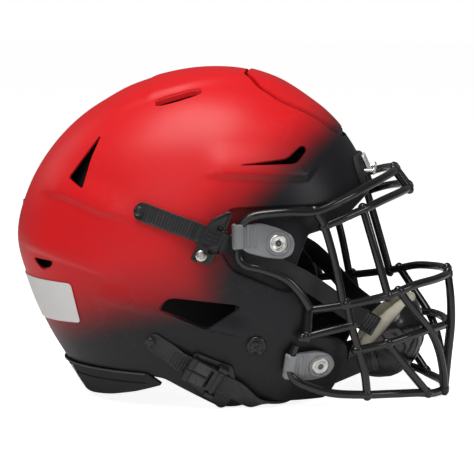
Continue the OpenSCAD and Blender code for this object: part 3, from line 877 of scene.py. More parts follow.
@dataclass
class HelmetShell:
    """The painted shell with its vents, clip recesses and flex panel, and the rounded rim of its edge."""

    form: ShellForm
    wall: float = 4.0
    recess_depth: float = 6.0
    groove: float = 2.5
    edge: float = 0.9
    grid: tuple[int, int] = (384, 160)
    outline: tuple = ((-210, 30), (-64, 28), (-50, 26), (-7, 3), (6, 3), (20, 6.5), (56, 6.5), (76, 7), (83, 19),
                      (92, 38),
                      (92, 47), (86, 54), (66, 58), (61, 70), (62, 82), (59, 94), (49, 105), (52, 115), (61, 140),
                          (73, 143),
                      (91, 153), (112, 172), (140, 172), (140, 290), (-210, 290))
    recess: tuple = ((2, 161), (80, 163), (140, 163), (140, 94), (44, 95), (28, 102), (4, 112), (-4, 126), (-4, 148))
    vents: tuple = (
        ((-103, 215), (-110, 197), (-116, 173), (-128, 181)),
        ((10, 194), (46, 198), (57, 208), (61, 204), (53, 194)),
        ((-159, 116), (-141, 115), (-143, 110), (-151, 107)),
        ((-53, 81), (-47, 89), (-40, 90), (8, 85), (11, 83), (-15, 66)),
    )
    slot: tuple = ((-60, 73), (-42, 71.5), (-24, 67))
    slot_half: float = 4.0
    panel: tuple = ((8, 33), (22, 51), (38, 57), (51, 54), (67, 47), (80, 41), (87, 26), (90, 0))
    valve: tuple = (-178.3, 152.0)

    def _across(self, outline: Sequence[Point], low: float = -160, high: float = 160) -> bpy.types.Object:
        """A prism of a side-view outline, carried across the helmet."""
        piece = slab("prism", outline, -high, -low)
        piece.data.transform(Matrix.Rotation(math.pi / 2, 4, "X"))
        outwards(piece)
        return piece

    def _slot_outline(self, grow: float) -> list[Point]:
        """The long top vent in plan, on the left."""
        line = spline(self.slot, steps=6)
        half = self.slot_half + grow
        turn = np.gradient(line, axis=0)
        turn /= np.linalg.norm(turn, axis=1, keepdims=True)
        side = np.stack([-turn[:, 1], turn[:, 0]], axis=1)
        taper = half * np.sqrt(1 - (np.linspace(-1, 1, len(line)) * 0.92) ** 4)[:, None]
        return [tuple(p) for p in np.concatenate([line + side * taper, (line - side * taper)[::-1]])]

    def _openings(self, grow: float) -> bpy.types.Object:
        """Every vent's prism, grown, as one cutter."""
        cutters = []
        for outline in self.vents:
            cutters.append(self._across(grown(softened(outline, 3.5), grow), 40, 160))
            cutters.append(self._across(grown(softened(outline, 3.5), grow), -160, -40))
        for sign in (1, -1):
            cutters.append(slab("slot", [(x, sign * y) for x, y in self._slot_outline(grow)], 200, 290))
        return joined("openings", cutters)

    def _panel_cut(self, grow: float, back: float) -> bpy.types.Object:
        """The flex panel's prism, grown and cut off behind its hinge line."""
        half = [p for p in self.panel[:-1]]
        plan = half + [self.panel[-1]] + [(x, -y) for x, y in reversed(half)]
        plan = grown(softened(plan, 5.0), grow)
        return slab("panel_cut", [(max(x, back), y) for x, y in plan], 150, 300)

    def _sink(self, depth: float) -> bpy.types.Object:
        """The plain form sunk by a depth, coarse enough for cutting with."""
        return self.form.solid("sunk", depth, 180, 80, raised=depth < 2)

    def shell(self) -> bpy.types.Object:
        """The shell.

        Returns:
            The shell, standing for its node.
        """
        shell = self.form.solid("helmet_shell", 0, *self.grid, raised=True)
        recess = softened(self.recess, 6.0)
        floor = self._sink(self.recess_depth)
        lip = self._sink(self.edge)
        for outline, sunk, low in ((recess, floor, 80), (grown(recess, self.edge), lip, 80)):
            for span in ((low, 160), (-160, -low)):
                carve(shell, carve(self._across(outline, *span), sunk, keep=True))
        rims = joined("rims", [self._openings(self.edge), self._panel_cut(self.edge, 8.0)])
        carve(shell, carve(rims, lip, keep=True))
        hollow = self._sink(self.wall)
        behind = grown(recess, 4.0)
        under = self._sink(self.recess_depth + self.wall)
        for span in ((76, 160), (-160, -76)):
            carve(hollow, carve(self._across(behind, *span), under, keep=True))
        carve(shell, hollow)
        carve(shell, self._across(softened(self.outline, 3.5)), how="INTERSECT")
        carve(shell, self._openings(0.0))
        carve(shell, self._panel_cut(0.0, 8.0))
        port = turned("port", [(0.01, -20), (5.4, -20), (5.4, 20), (0.01, 20)], 32)
        port.data.transform(Matrix.Translation((self.valve[0], 0, self.valve[1])) @ Matrix.Rotation(math.pi / 2, 4,
                "Y"))
        carve(shell, port)
        for spare in (floor, lip, under):
            bpy.data.objects.remove(spare, do_unlink=True)
        self.form.dress_normals(shell)
        self._line_inside(shell)
        return ready(shell, Finishes.PAINT, Body.ROOT.value, ["shell"])

    def _line_inside(self, piece: bpy.types.Object) -> None:
        """Gives a piece its paint outside and bare plastic on the faces that look inwards."""
        piece.data.materials.append(Finishes.PAINT.make())
        piece.data.materials.append(Finishes.LINING.make())
        for face in piece.data.polygons:
            out = face.center - Vector((self.form.centre[0], 0, self.form.centre[1]))
            if face.normal.dot(out.normalized()) < -0.55:
                face.material_index = 1

    def rim(self) -> bpy.types.Object:
        """The rounded edge round the shell's whole opening.

        Returns:
            The rim, on the shell.
        """
        side = even(np.array(softened(self.outline, 3.5)), 0.4)
        inside = [(x, z) for x, z in side if self.form.side_y(x, z, 2) > 0.5 and z < 200]
        first = max(range(len(inside)), key=lambda k: math.dist(inside[k], inside[k - 1]))
        inside = inside[first:] + inside[:first]
        half = []
        for x, z in inside:
            y = self.form.side_y(x, z, 2)
            deep = -2 < x < 100 and 96 < z < 162 and y > 80
            half.append((x, -self.form.side_y(x, z, 2 + (self.recess_depth if deep else 0)), z))
        path = np.array(half)
        path = np.concatenate([path, (path * (1, -1, 1))[::-1]])
        for _ in range(6):
            path = (np.roll(path, 1, axis=0) + path + np.roll(path, -1, axis=0)) / 3
        return ready(shaded(swept("shell_rim", even(np.concatenate([path, path[:1]]), 2.6)[:-1],
                                  self.wall / 2 + 0.05, closed=True, sides=3), 60),
                     Finishes.PAINT, Body.ROOT.value)

    def flex_panel(self) -> bpy.types.Object:
        """The panel over the forehead, on its own body, standing proud of the shell all over.

        Returns:
            The panel, standing for its node.
        """
        rise = 1.1
        panel = self.form.solid("forehead_flex_panel", -rise, 300, 140, raised=True)
        carve(panel, self._sink(self.wall))
        carve(panel, self._panel_cut(-self.groove, 8.6), how="INTERSECT")
        rim = self._panel_cut(8.0, -20.0)
        carve(rim, self._panel_cut(-self.groove - self.edge, 8.6 + self.edge))
        carve(rim, self._sink(-rise + 0.8 * self.edge))
        carve(panel, rim)
        self.form.dress_normals(panel, rise)
        self._line_inside(panel)
        return ready(panel, Finishes.PAINT, Body.PANEL.value, ["flex_panel"])

    def build(self) -> None:
        """Builds the shell, its rim and its panel."""
        self.shell()
        self.rim()
        self.flex_panel()


# ---------------------------------------------------------------- the face mask


@dataclass
class FaceMask:
    """The welded mask of coated wire."""

    wire: float = 3.3
    weld: float = 4.3
    bars: tuple = (
        ("mask_brow_bar", 121.5, ((65, 82), (57, 95), (46, 106), (29, 113), (15, 116.5), (9.5, 124), (9.5, 142),
                                  (14, 151),
                                  (24, 156), (45, 158), (69, 158), (89, 166), (108, 175), (120, 180), (128, 183),
                                      (131, 184))),
        ("mask_lower_brow_bar", 116, ((76, 146), (104, 157), (122, 164), (135, 168), (140, 169), (142, 169))),
        ("mask_middle_bar", 112, ((63, 80), (89, 83), (109, 86), (128, 90), (148, 96), (163, 98), (172, 99), (175,
                99))),
        ("mask_chin_bar", 112, ((102, 47), (125, 51), (147, 56), (160, 58), (169, 58), (174, 57))),
        ("mask_bottom_bar", 112, ((54, 52), (49, 39), (50, 29), (58, 22), (80, 14), (107, 11), (127, 10), (149, 8),
                                  (161, 5),
                                  (170, 3.9), (173, 3.8))),
    )
    struts: tuple = (
        ("mask_uprights", (((69, -108, 158), (76, -104.5, 146), (84, -102.5, 118), (91, -100.5, 84)),
                           ((106, -84, 158), (116, -85.5, 124), (126, -84.5, 89)))),
        ("mask_centre_bars", (((130.5, -16, 183.5), (141.5, -16, 169)),
                              ((174.5, -16, 99), (177, -16, 78), (177.5, -16, 57), (175, -16, 30), (172.5, -16, 4)))),
        ("mask_side_bars", (((94, -99.5, 84), (98, -99, 65), (103, -96.5, 47), (108, -94, 28), (110, -93, 11)),
                            ((60, -112, 59), (80, -106, 63.5), (98, -99, 67)), ((64, -109, 80), (63, -112, 60)))),
    )
    diagonals: tuple = (((135, 92), (147, 75), (160, 57), (167, 40), (171, 20), (172, 5)), ((126, 51), (141, 30),
            (158, 7)))

    @staticmethod
    def bar_y(x: float, front: float, spread: float) -> float:
        """A bar's distance from the middle plane at x."""
        f = max(x - 10, 0) / (front - 10)
        return 0.0 if f >= 1 else spread * (1 - f ** 2.2) ** (1 / 2.2)

    def _bar_path(self, spread: float, side: Sequence[Point]) -> np.ndarray:
        """A bar's centreline from the right side round the front to the left."""
        line = even(spline(side, steps=40), 0.05)
        front = float(line[-1, 0])
        half = np.array([(x, -self.bar_y(x, front, spread), z) for x, z in line])
        whole = np.concatenate([half, (half * (1, -1, 1))[::-1][1:]])
        return even(whole, 3.5)

    def _welds(self, ends: Sequence[np.ndarray]) -> None:
        """Builds the rounded beads of weld metal, under the coating, where wires meet.

        Args:
            ends: Pairs of a weld's place and the direction of the wire that ends there.
        """
        beads = []
        for k, (place, along) in enumerate(ends):
            bpy.ops.object.select_all(action="DESELECT")
            bpy.ops.mesh.primitive_ico_sphere_add(subdivisions=3, radius=self.weld)
            bead = bpy.context.object
            for vertex in bead.data.vertices:
                n = vertex.co.normalized()
                lump = 1 + 0.05 * math.sin(5.1 * n.x + k) * math.cos(4.3 * n.y - 2 * k) + 0.03 * math.sin(9 * n.z + 3 * k)
                vertex.co = Vector((n.x * 0.94, n.y * 0.94, n.z * 1.22)) * self.weld * lump
            turn = Vector(along).to_track_quat("Z", "Y").to_matrix().to_4x4()
            bead.data.transform(Matrix.Translation(Vector(place)) @ turn)
            for vertex in bead.data.vertices:
                vertex.co.z = max(vertex.co.z, 0.3)
            beads.append(bead)
        ready(shaded(joined("mask_welds", beads), 180), Finishes.WIRE, Body.ROOT.value)

    def build(self) -> None:
        """Builds every bar, strut and weld."""
        ends: list = []
        for name, spread, side in self.bars:
            path = self._bar_path(spread, side)
            rod = shaded(swept(name.replace("mask", "wire"), path, self.wire, sides=5), 60)
            ready(rod, Finishes.WIRE, Body.ROOT.value, [name])
            if name not in ("mask_brow_bar", "mask_bottom_bar"):
                ends += [(path[0], path[1] - path[0]), (path[-1], path[-2] - path[-1])]
        struts = list(self.struts)
        struts.append(("mask_diagonals", tuple(tuple((x, -self.bar_y(x, 176, 112), z) for x,
                                                     z in line) for line in self.diagonals)))
        for name, lines in struts:
            rods = []
            for line in lines:
                for side in (1, -1):
                    path = even(spline([(x, y * side, z) for x, y, z in line], steps=12), 3.5)
                    rods.append(swept("rod", path, self.wire, sides=5))
                    ends += [(path[0], path[1] - path[0]), (path[-1], path[-2] - path[-1])]
            ready(shaded(joined(name.replace("mask", "wire"), rods), 60), Finishes.WIRE, Body.ROOT.value, [name])
        self._welds([e for e in ends if not (e[0][0] < 66 and e[0][2] > 70)])


# ---------------------------------------------------------------- clips and buckles


def rod(name: str, start: Point, end: Point, radius: float) -> bpy.types.Object:
    """A short straight rod with rounded ends."""
    path = even(np.array([start, end], float), 2.0)
    return rounded(swept(name, path, radius, sides=4), radius * 0.35)


def cross_recess(piece: bpy.types.Object, size: float, top: float, depth: float) -> bpy.types.Object:
    """Cuts a screwdriver's cross into the top of a turned head."""
    for turn in (0.0, math.pi / 2):
        blade = slab("blade", [(-size, -size * 0.2), (size, -size * 0.2), (size, size * 0.2), (-size, size * 0.2)],
                     top - depth, top + 4)
        blade.data.transform(Matrix.Rotation(turn + 0.35, 4, "Z"))
        carve(piece, blade)
    return piece


@dataclass(frozen=True)
class ClipPlan:
    """One kind of mask clip, drawn in its bolt's own plane with the bolt at the origin."""

    word: str
    bolt: Point
    sunk: float
    wire: Point
    bow: float
    outline: tuple


@dataclass
class MaskClips:
    """The smoked clips that hold the mask, with their dished washers and quick-release pins."""

    form: ShellForm
    low: float = 3.2
    washer: float = 7.1
    pin: float = 2.2
    teeth: int = 4
    plans: tuple = (
        ClipPlan("upper", (38, 133), 6.0, (-31.6, 5.0), 9.5,
                 ((-33, 14.5), (-34.5, 1), (-25, -7), (-8, -11.5), (5, -12.5), (12, -8.5), (14, 0), (11.5, 6.5), (1,
                         12), (-14, 16.5))),
        ClipPlan("lower", (70, 37), 0.0, (-24.8, 4.5), 10.0,
                 ((-30, -7), (-30, 7), (-20, 11.5), (-4, 13), (8, 9.5), (13.5, 0), (9, -9), (-3, -12.5), (-20, -12))),
    )

    def _clip(self, plan: ClipPlan) -> bpy.types.Object:
        """One clip in its own plane: plate, wire hook, ribs and washer ring."""
        dx, up = plan.wire
        body = rounded(slab("plate", softened(plan.outline, 4.5), self.low, 7.4), 1.2, 3)
        middle = 6.0 if plan.word == "upper" else 0.5
        low, high = middle - plan.bow, middle + plan.bow
        hook = rod("hook", (dx, low, up), (dx, high, up), 5.3)
        carve(hook, slab("under", [(-70, -60), (30, -60), (30, 60), (-70, 60)], -30, self.low))
        carve(body, hook, how="UNION")
        for k in range(self.teeth):
            y = low + 1.6 + (high - low - 3.2) * k / (self.teeth - 1)
            tooth = turned("tooth", [(0.01, self.low), (2.6, self.low), (2.6, 6.8), (1.9, 7.8), (0.01, 8.2)], 28)
            tooth.data.transform(Matrix.Translation((dx - 2.4, y, 0)))
            carve(body, tooth, how="UNION")
        for x, radius in ((dx + 7.6, 1.5), (dx + 13.2, 1.1)):
            carve(body, rod("band", (x, low + 1.5, 7.2), (x, high - 0.5, 7.2), radius), how="UNION")
        ring = turned("ring", [(7.5, 6.0), (9.8, 6.0), (9.8, 8.2), (9.3, 8.7), (8.1, 8.7), (7.5, 8.1)], 48)
        carve(body, ring, how="UNION")
        carve(body, turned("seat", [(0.01, 6.2), (7.3, 6.2), (7.3, 12), (0.01, 12)], 48))
        carve(body, turned("hole", [(0.01, -4), (4.2, -4), (4.2, 12), (0.01, 12)], 32))
        room = swept("room", even(np.array([(dx, -30, up), (dx, 30, up)], float), 4.0), 3.65, sides=5)
        return shaded(carve(body, room), 38)

    def _washer(self) -> bpy.types.Object:
        """A bright dished washer round the pin."""
        profile = [(self.pin + 0.3, 6.3), (self.washer, 6.3), (self.washer, 7.9), (6.3, 8.5), (5.6, 8.75), (4.9,
                8.5), (4.2, 8.0),
                   (3.4, 7.9), (3.0, 8.3), (self.pin + 0.3, 8.3)]
        return shaded(turned("washer", profile, 64), 50)

    def _pin(self) -> bpy.types.Object:
        """The quick-release pin, with a ring and a dimple in its end."""
        r = self.pin
        profile = [(0.01, -6), (r - 0.4, -6), (r, -5.6), (r, 8.4), (r - 0.3, 8.8), (r - 0.7, 8.8), (r - 0.85, 8.5),
                   (r - 1.0, 9.0),
                   (0.9, 9.2), (0.55, 8.7), (0.01, 8.6)]
        return shaded(turned("pin", profile, 48), 50)

    def build(self) -> None:
        """Builds both clips on both sides, with washers and pins."""
        washers = []
        for plan in self.plans:
            place = self.form.place(*plan.bolt, plan.sunk)
            pieces = {"clip": self._clip(plan), "pin": self._pin()}
            body = {"clip": Body.ROOT, "pin": Body.UPPER_PIN if plan.word == "upper" else Body.LOWER_PIN}
            for word, made in pieces.items():
                made.data.transform(place)
                right = f"{plan.word}_{word}_right"
                made.name = made.data.name = f"mask_{right}"
                twin = mirrored(made, f"mask_{plan.word}_{word}_left")
                for piece, side in ((made, Side.RIGHT), (twin, Side.LEFT)):
                    finish = Finishes.SMOKED if word == "clip" else Finishes.DARK_STEEL
                    rides = Body.ROOT.value if word == "clip" else body[word].on(side)
                    ready(piece, finish, rides, [f"{plan.word}_{word}_{side.word}"])
            washer = self._washer()
            washer.data.transform(place)
            washers += [washer, mirrored(washer, "washer")]
        ready(joined("mask_clip_washers", washers), Finishes.STEEL, Body.ROOT.value, ["clip_washers"])


@dataclass
class Buckles:
    """The cam buckles of the upper straps and the ratchet buckles of the lower straps."""

    form: ShellForm
    upper: tuple = (-12.0, 138.5, -22.0)
    lower: tuple = (-17.0, 30.0, -30.0)
    upper_axis: tuple = (7.0, 6.6)
    lower_axis: tuple = (10.0, 7.4)
    screw: tuple = (-1.5, -16.0)

    @staticmethod
    def _cheek(x0: float, x1: float, y: float, half: float, high: float) -> list[bpy.types.Object]:
        """Both side cheeks that hold a lever's pin."""
        return [box("cheek", (x0, s * y - half, 0.9), (x1, s * y + half, high), half * 0.45) for s in (-1, 1)]

    def _upper_base(self) -> bpy.types.Object:
        """The upper buckle's plate and cheeks."""
        plate = rounded(slab("plate", softened([(-7, -21), (8.6, -19.5), (9, 17), (3, 19), (-4, 12), (-5.5, 0)],
                                               3.0), 0.6, 2.0), 0.5)
        for cheek in self._cheek(3, 11, 9.8, 1.1, 8.0):
            carve(plate, cheek, how="UNION")
        for k in range(4):
            carve(plate, rod("grip", (-2 + 1.2 * k, 12.4 + 1.2 * k, 1.9), (6, 12.4 + 1.2 * k, 1.9), 0.5), how="UNION")
        seat = turned("seat", [(2.5, 1.4), (5.0, 1.4), (5.0, 2.3), (4.7, 2.6), (4.5, 2.1), (2.5, 2.1)], 40)
        seat.data.transform(Matrix.Translation((*self.screw, 0)))
        carve(plate, seat, how="UNION")
        return shaded(plate, 35)

    def _upper_lever(self) -> bpy.types.Object:
        """The upper buckle's tall cam lever, with a hole over the screw, a sunk field and a rolled rim."""
        x, z = self.upper_axis
        outline = [(-8.5, -22), (8.0, -20), (8.9, -4), (9.1, 12), (8.8, 25), (5.0, 25), (-5.0, 14), (-7.0, 0)]
        lever = rounded(slab("lever", softened(outline, 3.0), 7.6, 10.6), 1.0, 3)
        field = softened([(-4.2, -7.5), (0.6, -8.5), (8.0, -5), (8.2, 12), (7.2, 20.5), (5.4, 20.8), (-2.6, 12.6),
                          (-4.4, 0)], 2.0)
        carve(lever, rounded(slab("field", field, 9.7, 14), 0.4))
        for k in range(4):
            carve(lever, rounded(slab("tread", [(-3.0, -5.0 + 3.4 * k), (6.6, -3.6 + 3.4 * k), (6.6,
                    -2.4 + 3.4 * k), (-3.0, -3.8 + 3.4 * k)],
                                      9.0, 10.25), 0.25), how="UNION")
        hole = turned("hole", [(0.01, 5), (5.0, 5), (5.0, 9.6), (5.7, 10.7), (5.7, 14), (0.01, 14)], 48)
        hole.data.transform(Matrix.Translation((*self.screw, 0)))
        carve(lever, hole)
        for sign in (-1, 1):
            carve(lever, box("gap", (2.2, sign * 9.8 - 1.5, 6), (13.5, sign * 9.8 + 1.5, 12)))
        barrel = rod("barrel", (x, -7.8, z), (x, 7.8, z), 2.1)
        carve(lever, barrel, how="UNION")
        carve(lever, box("web", (x - 1.6, -7.6, z), (x + 1.6, 7.6, 8.2), 0.2), how="UNION")
        carve(lever, swept("bore", even(np.array([(x, -30, z), (x, 30, z)], float), 5.0), 1.06, sides=4))
        return shaded(lever, 35)

    def _screw(self) -> bpy.types.Object:
        """A domed bright screw with a cross recess."""
        head = turned("screw", [(0.01, -7), (1.6, -7), (2, -6.4), (2, 2.2), (4.4, 2.2), (4.4, 3.0), (3.8, 3.8),
                                (2.6, 4.25), (0.01, 4.4)], 48)
        cross_recess(head, 2.6, 4.3, 1.2)
        head.data.transform(Matrix.Translation((*self.screw, 0)))
        return shaded(head, 35)

    def _lower_base(self) -> bpy.types.Object:
        """The lower buckle's plate, cheeks and strap guides."""
        plate = rounded(slab("plate", softened([(-14, -12), (24, -21), (28, -17), (27, 2), (16, 16), (-16, 12)],
                                               3.0), 0.9, 2.4), 0.5)
        for cheek in self._cheek(6, 14, 12.5, 1.9, 10.3):
            carve(plate, cheek, how="UNION")
        for k in range(5):
            carve(plate, rod("tread", (15 + 2.2 * k, -14.5, 2.2), (15 + 2.2 * k, -9.6, 2.2), 0.55), how="UNION")
        return shaded(plate, 35)

    def _lower_lever(self) -> bpy.types.Object:
        """The ratchet lever's black body."""
        x, z = self.lower_axis
        body = rounded(slab("lever", softened([(-15, -9.6), (9, -10.1), (9, 10.1), (-15, 9.6)], 2.2), 5.6, 8.7),
                       0.8, 3)
        barrel = rod("barrel", (x, -10.1, z), (x, 10.1, z), 2.5)
        carve(body, barrel, how="UNION")
        carve(body, box("thumb", (-16, -10.6, 7.4), (-11.4, 10.6, 10.4), 0.8), how="UNION")
        carve(body, box("slot", (2, -7.6, 4), (4.4, 7.6, 14), 0.2))
        carve(body, box("split", (-18, -0.35, 7.9), (1.5, 0.35, 14)))
        carve(body, swept("bore", even(np.array([(x, -30, z), (x, 30, z)], float), 5.0), 1.06, sides=4))
        return shaded(body, 35)

    def _thumb_pads(self) -> bpy.types.Object:
        """The two grey ribbed pads that the thumb pushes."""
        pads = []
        for sign in (-1, 1):
            pad = box("pad", (-10.8, sign * 5.2 - 4.1, 8.2), (1.0, sign * 5.2 + 4.1, 9.5), 0.5)
            for k in range(6):
                carve(pad, rod("rib", (-9.6 + k * 1.9, sign * 5.2 - 3.5, 9.4), (-9.6 + k * 1.9, sign * 5.2 + 3.5,
                        9.4), 0.62), how="UNION")
            pads.append(pad)
        return shaded(joined("pads", pads), 35)

    def build(self) -> None:
        """Builds every buckle part on both sides."""
        upper = self.form.place(self.upper[0], self.upper[1], 0, self.upper[2])
        lower = self.form.place(self.lower[0], self.lower[1], 0, self.lower[2])
        rows = (
            (self._upper_base(), upper, "upper_buckle_base", Body.ROOT, Finishes.PLASTIC),
            (self._upper_lever(), upper, "upper_buckle_lever", Body.UPPER_LEVER, Finishes.PLASTIC),
            (self._lower_base(), lower, "lower_buckle_base", Body.ROOT, Finishes.PLASTIC),
            (self._lower_lever(), lower, "lower_buckle_lever", Body.LOWER_LEVER, Finishes.PLASTIC),
            (self._thumb_pads(), lower, "", Body.LOWER_LEVER, Finishes.GREY_PLASTIC),
        )
        for made, place, node, body, finish in rows:
            made.data.transform(place)
            made.name = made.data.name = f"strap_{node or 'lower_buckle_pads'}_right"
            twin = mirrored(made, made.name.replace("right", "left"))
            for piece, side in ((made, Side.RIGHT), (twin, Side.LEFT)):
                nodes = [f"{node}_{side.word}"] if node else []
                ready(piece, finish, body.value if body is Body.ROOT else body.on(side), nodes)
        screw = self._screw()
        screw.data.transform(upper)
        both = joined("strap_buckle_screws", [screw, mirrored(screw, "screw")])
        ready(both, Finishes.STEEL, Body.ROOT.value, ["upper_buckle_screws"])


# ---------------------------------------------------------------- straps


@dataclass
class Straps:
    """The four chin straps, ribbed where their buckles grip them, with the snaps at their ends."""

    form: ShellForm
    width: float = 15.0
    thick: float = 2.0
    pitch: float = 2.45
    gap: float = 1.7

    def _on(self, x: float, z: float, off: float) -> tuple:
        """A place on the shell and the direction outwards there."""
        place = self.form.place(x, z, off)
        return tuple(place.translation), tuple(place.to_3x3().col[2])

    def routes(self) -> dict[str, list[tuple]]:
        """Each right strap's places, with the direction outwards at each.

        Returns:
            The routes by name.
        """
        def flat(points: Sequence[Point], out: Point) -> list[tuple]:
            """Places that all share one direction outwards."""
            return [(p, out) for p in points]

        upper = [self._on(-72, 160, -self.gap), self._on(-56, 154.5, -self.gap), self._on(-40, 148.8,
                -self.gap - 0.5)]
        upper += flat([(-28.5, -125.7, 145.3), (-21.1, -125.3, 142.3), (-2.9, -124.8, 135)], (0.04, -1, 0.03))
        upper += [self._on(*p) for p in ((3.6, 132.2, 3.6), (9, 130, 4.3), (16, 127.2, 4.4), (26, 122.4, 4.5), (38,
                115.6, 4.6))]
        upper += [((49, -107.6, 109.5), (0.2, -1, 0)), ((60, -103.2, 103.2), (0.3, -1, 0)), ((74, -88, 92), (0.5,
                -1, 0)),
                  ((88, -69, 79), (0.6, -1, 0)), ((98, -57.5, 71), (0.7, -1, 0)), ((106.5, -49, 65.3), (0.5, -1, 0))]
        lower = [self._on(-63, 57, -self.gap), self._on(-46, 46.5, -self.gap - 0.3)]
        lower += flat([(-37.8, -117.5, 40.5), (-29.1, -116, 35.7), (-17, -114, 29), (-8.3, -112.6, 24.2), (0.3,
                -111.2, 19.4),
                       (8.1, -110.1, 15)], (0, -0.96, -0.28))
        lower += [((20, -101.6, 4.9), (0, -0.8, -1)), ((30, -92, 2.9), (0, -0.25, -1)), ((42, -80, 3.4), (0, -0.15,
                -1)),
                  ((54, -70, 7.5), (0.3, -0.4, -1)), ((66, -63, 13.5), (0.4, -1, -0.6)), ((84, -56.5, 21.5), (0.4,
                          -1, -0.2)),
                  ((103, -48, 29), (0.3, -1, 0))]
        return {"upper": upper, "lower": lower}

    def _strap(self, name: str, route: Sequence[tuple], ribs: tuple[float, float]) -> bpy.types.Object:
        """One strap as a ribbed strip with rims and a rounded end, mapped in threads along and across.

        Args:
            name: The piece's name.
            route: Its places and outward directions.
            ribs: Where along it the ribs start and end.

        Returns:
            The strap.
        """
        both = even(spline([(*p, *u) for p, u in route], steps=10), 0.61)
        path, up = both[:, :3], both[:, 3:]
        path = even(path, 0.55)
        at = np.linspace(0, 1, len(up))
        up = np.stack([np.interp(np.linspace(0, 1, len(path)), at, up[:, k]) for k in range(3)], axis=1)
        t = np.gradient(path, axis=0)
        t /= np.linalg.norm(t, axis=1, keepdims=True)
        up -= np.sum(up * t, axis=1, keepdims=True) * t
        up /= np.linalg.norm(up, axis=1, keepdims=True)
        side = np.cross(t, up)
        run = np.concatenate([[0], np.cumsum(np.linalg.norm(np.diff(path, axis=0), axis=1))])
        tip = np.sqrt(np.clip(1 - (1 - np.clip(run / 6.0, 0.02, 1)) ** 2, 0.0, 1))
        inside = smooth(ribs[0], ribs[0] + 0.5, run) * (1 - smooth(ribs[1] - 0.5, ribs[1], run))
        rib = inside * np.clip(np.cos(2 * np.pi * run / self.pitch) * 1.6, -1, 1)
        half, h = self.width / 2, self.thick / 2
        section = [(-1.0, -0.55, 0), (-1.0, 0.55, 0), (-0.96, 0.95, 0), (-0.86, 0.95, 0), (-0.80, 0.62, 1), (-0.40,
                0.62, 1),
                   (0, 0.62, 1), (0.40, 0.62, 1), (0.80, 0.62, 1), (0.86, 0.95, 0), (0.96, 0.95, 0), (1.0, 0.55, 0),
                       (1.0, -0.55, 0),
                   (0.94, -0.95, 0), (0, -0.95, 0), (-0.94, -0.95, 0)]
        points, n = [], len(section)
        for w, v, r in section:
            lift = v * h + r * 0.42 * rib
            points.append(path + side * (w * half * tip)[:, None] + up * lift[:, None])
        ring = np.stack(points, axis=1).reshape(-1, 3)
        faces = [(i * n + k, (i + 1) * n + k, (i + 1) * n + (k + 1) % n, i * n + (k + 1) % n)
                 for i in range(len(path) - 1) for k in range(n)]
        faces += [tuple(range(n)), tuple((len(path) - 1) * n + k for k in reversed(range(n)))]
        piece = from_faces(name, ring, faces)
        chart = piece.data.uv_layers.new(name="threads")
        for loop in piece.data.loops:
            i, k = divmod(loop.vertex_index, n)
            chart.data[loop.index].uv = (run[i] / 1.1, section[k][0] * half / 1.1)
        only(piece)
        bpy.ops.object.mode_set(mode="EDIT")
        bpy.ops.mesh.select_all(action="SELECT")
        bpy.ops.mesh.normals_make_consistent(inside=False)
        bpy.ops.object.mode_set(mode="OBJECT")
        return shaded(piece, 50)

    def _snap(self) -> bpy.types.Object:
        """A snap's low cap with a ring and a dimple."""
        profile = [(0.01, 3.2), (4.1, 3.2), (4.2, 3.6), (4.0, 4.4), (3.3, 4.8), (2.9, 4.5), (2.3, 4.4), (1.8, 4.8),
                   (0.9, 4.9), (0.01, 4.6)]
        return shaded(turned("snap", profile, 40), 50)

    def build(self) -> None:
        """Builds the straps and their snaps."""
        for word, route in self.routes().items():
            right = self._strap(f"chin_strap_{word}_right", route, (7.5, 52.0) if word == "upper" else (24.0, 44.0))
            left = mirrored(right, f"chin_strap_{word}_left")
            for piece, side in ((right, Side.RIGHT), (left, Side.LEFT)):
                piece.data.transform(Matrix.Scale(MM, 4))
                piece.data.materials.append(Finishes.WEBBING.make())
                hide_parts(f"{word}_strap_{side.word}")
                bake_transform(piece)
                LOG.info("%s: %d faces", piece.name, len(piece.data.polygons))
        snaps = []
        for x, z in ((-68, 158), (-60, 55)):
            snap = self._snap()
            snap.data.transform(self.form.place(x, z))
            snaps += [snap, mirrored(snap, "snap")]
        ready(joined("chin_strap_snaps", snaps), Finishes.PLASTIC, Body.ROOT.value, ["strap_end_snaps"])


# ---------------------------------------------------------------- the chin cup


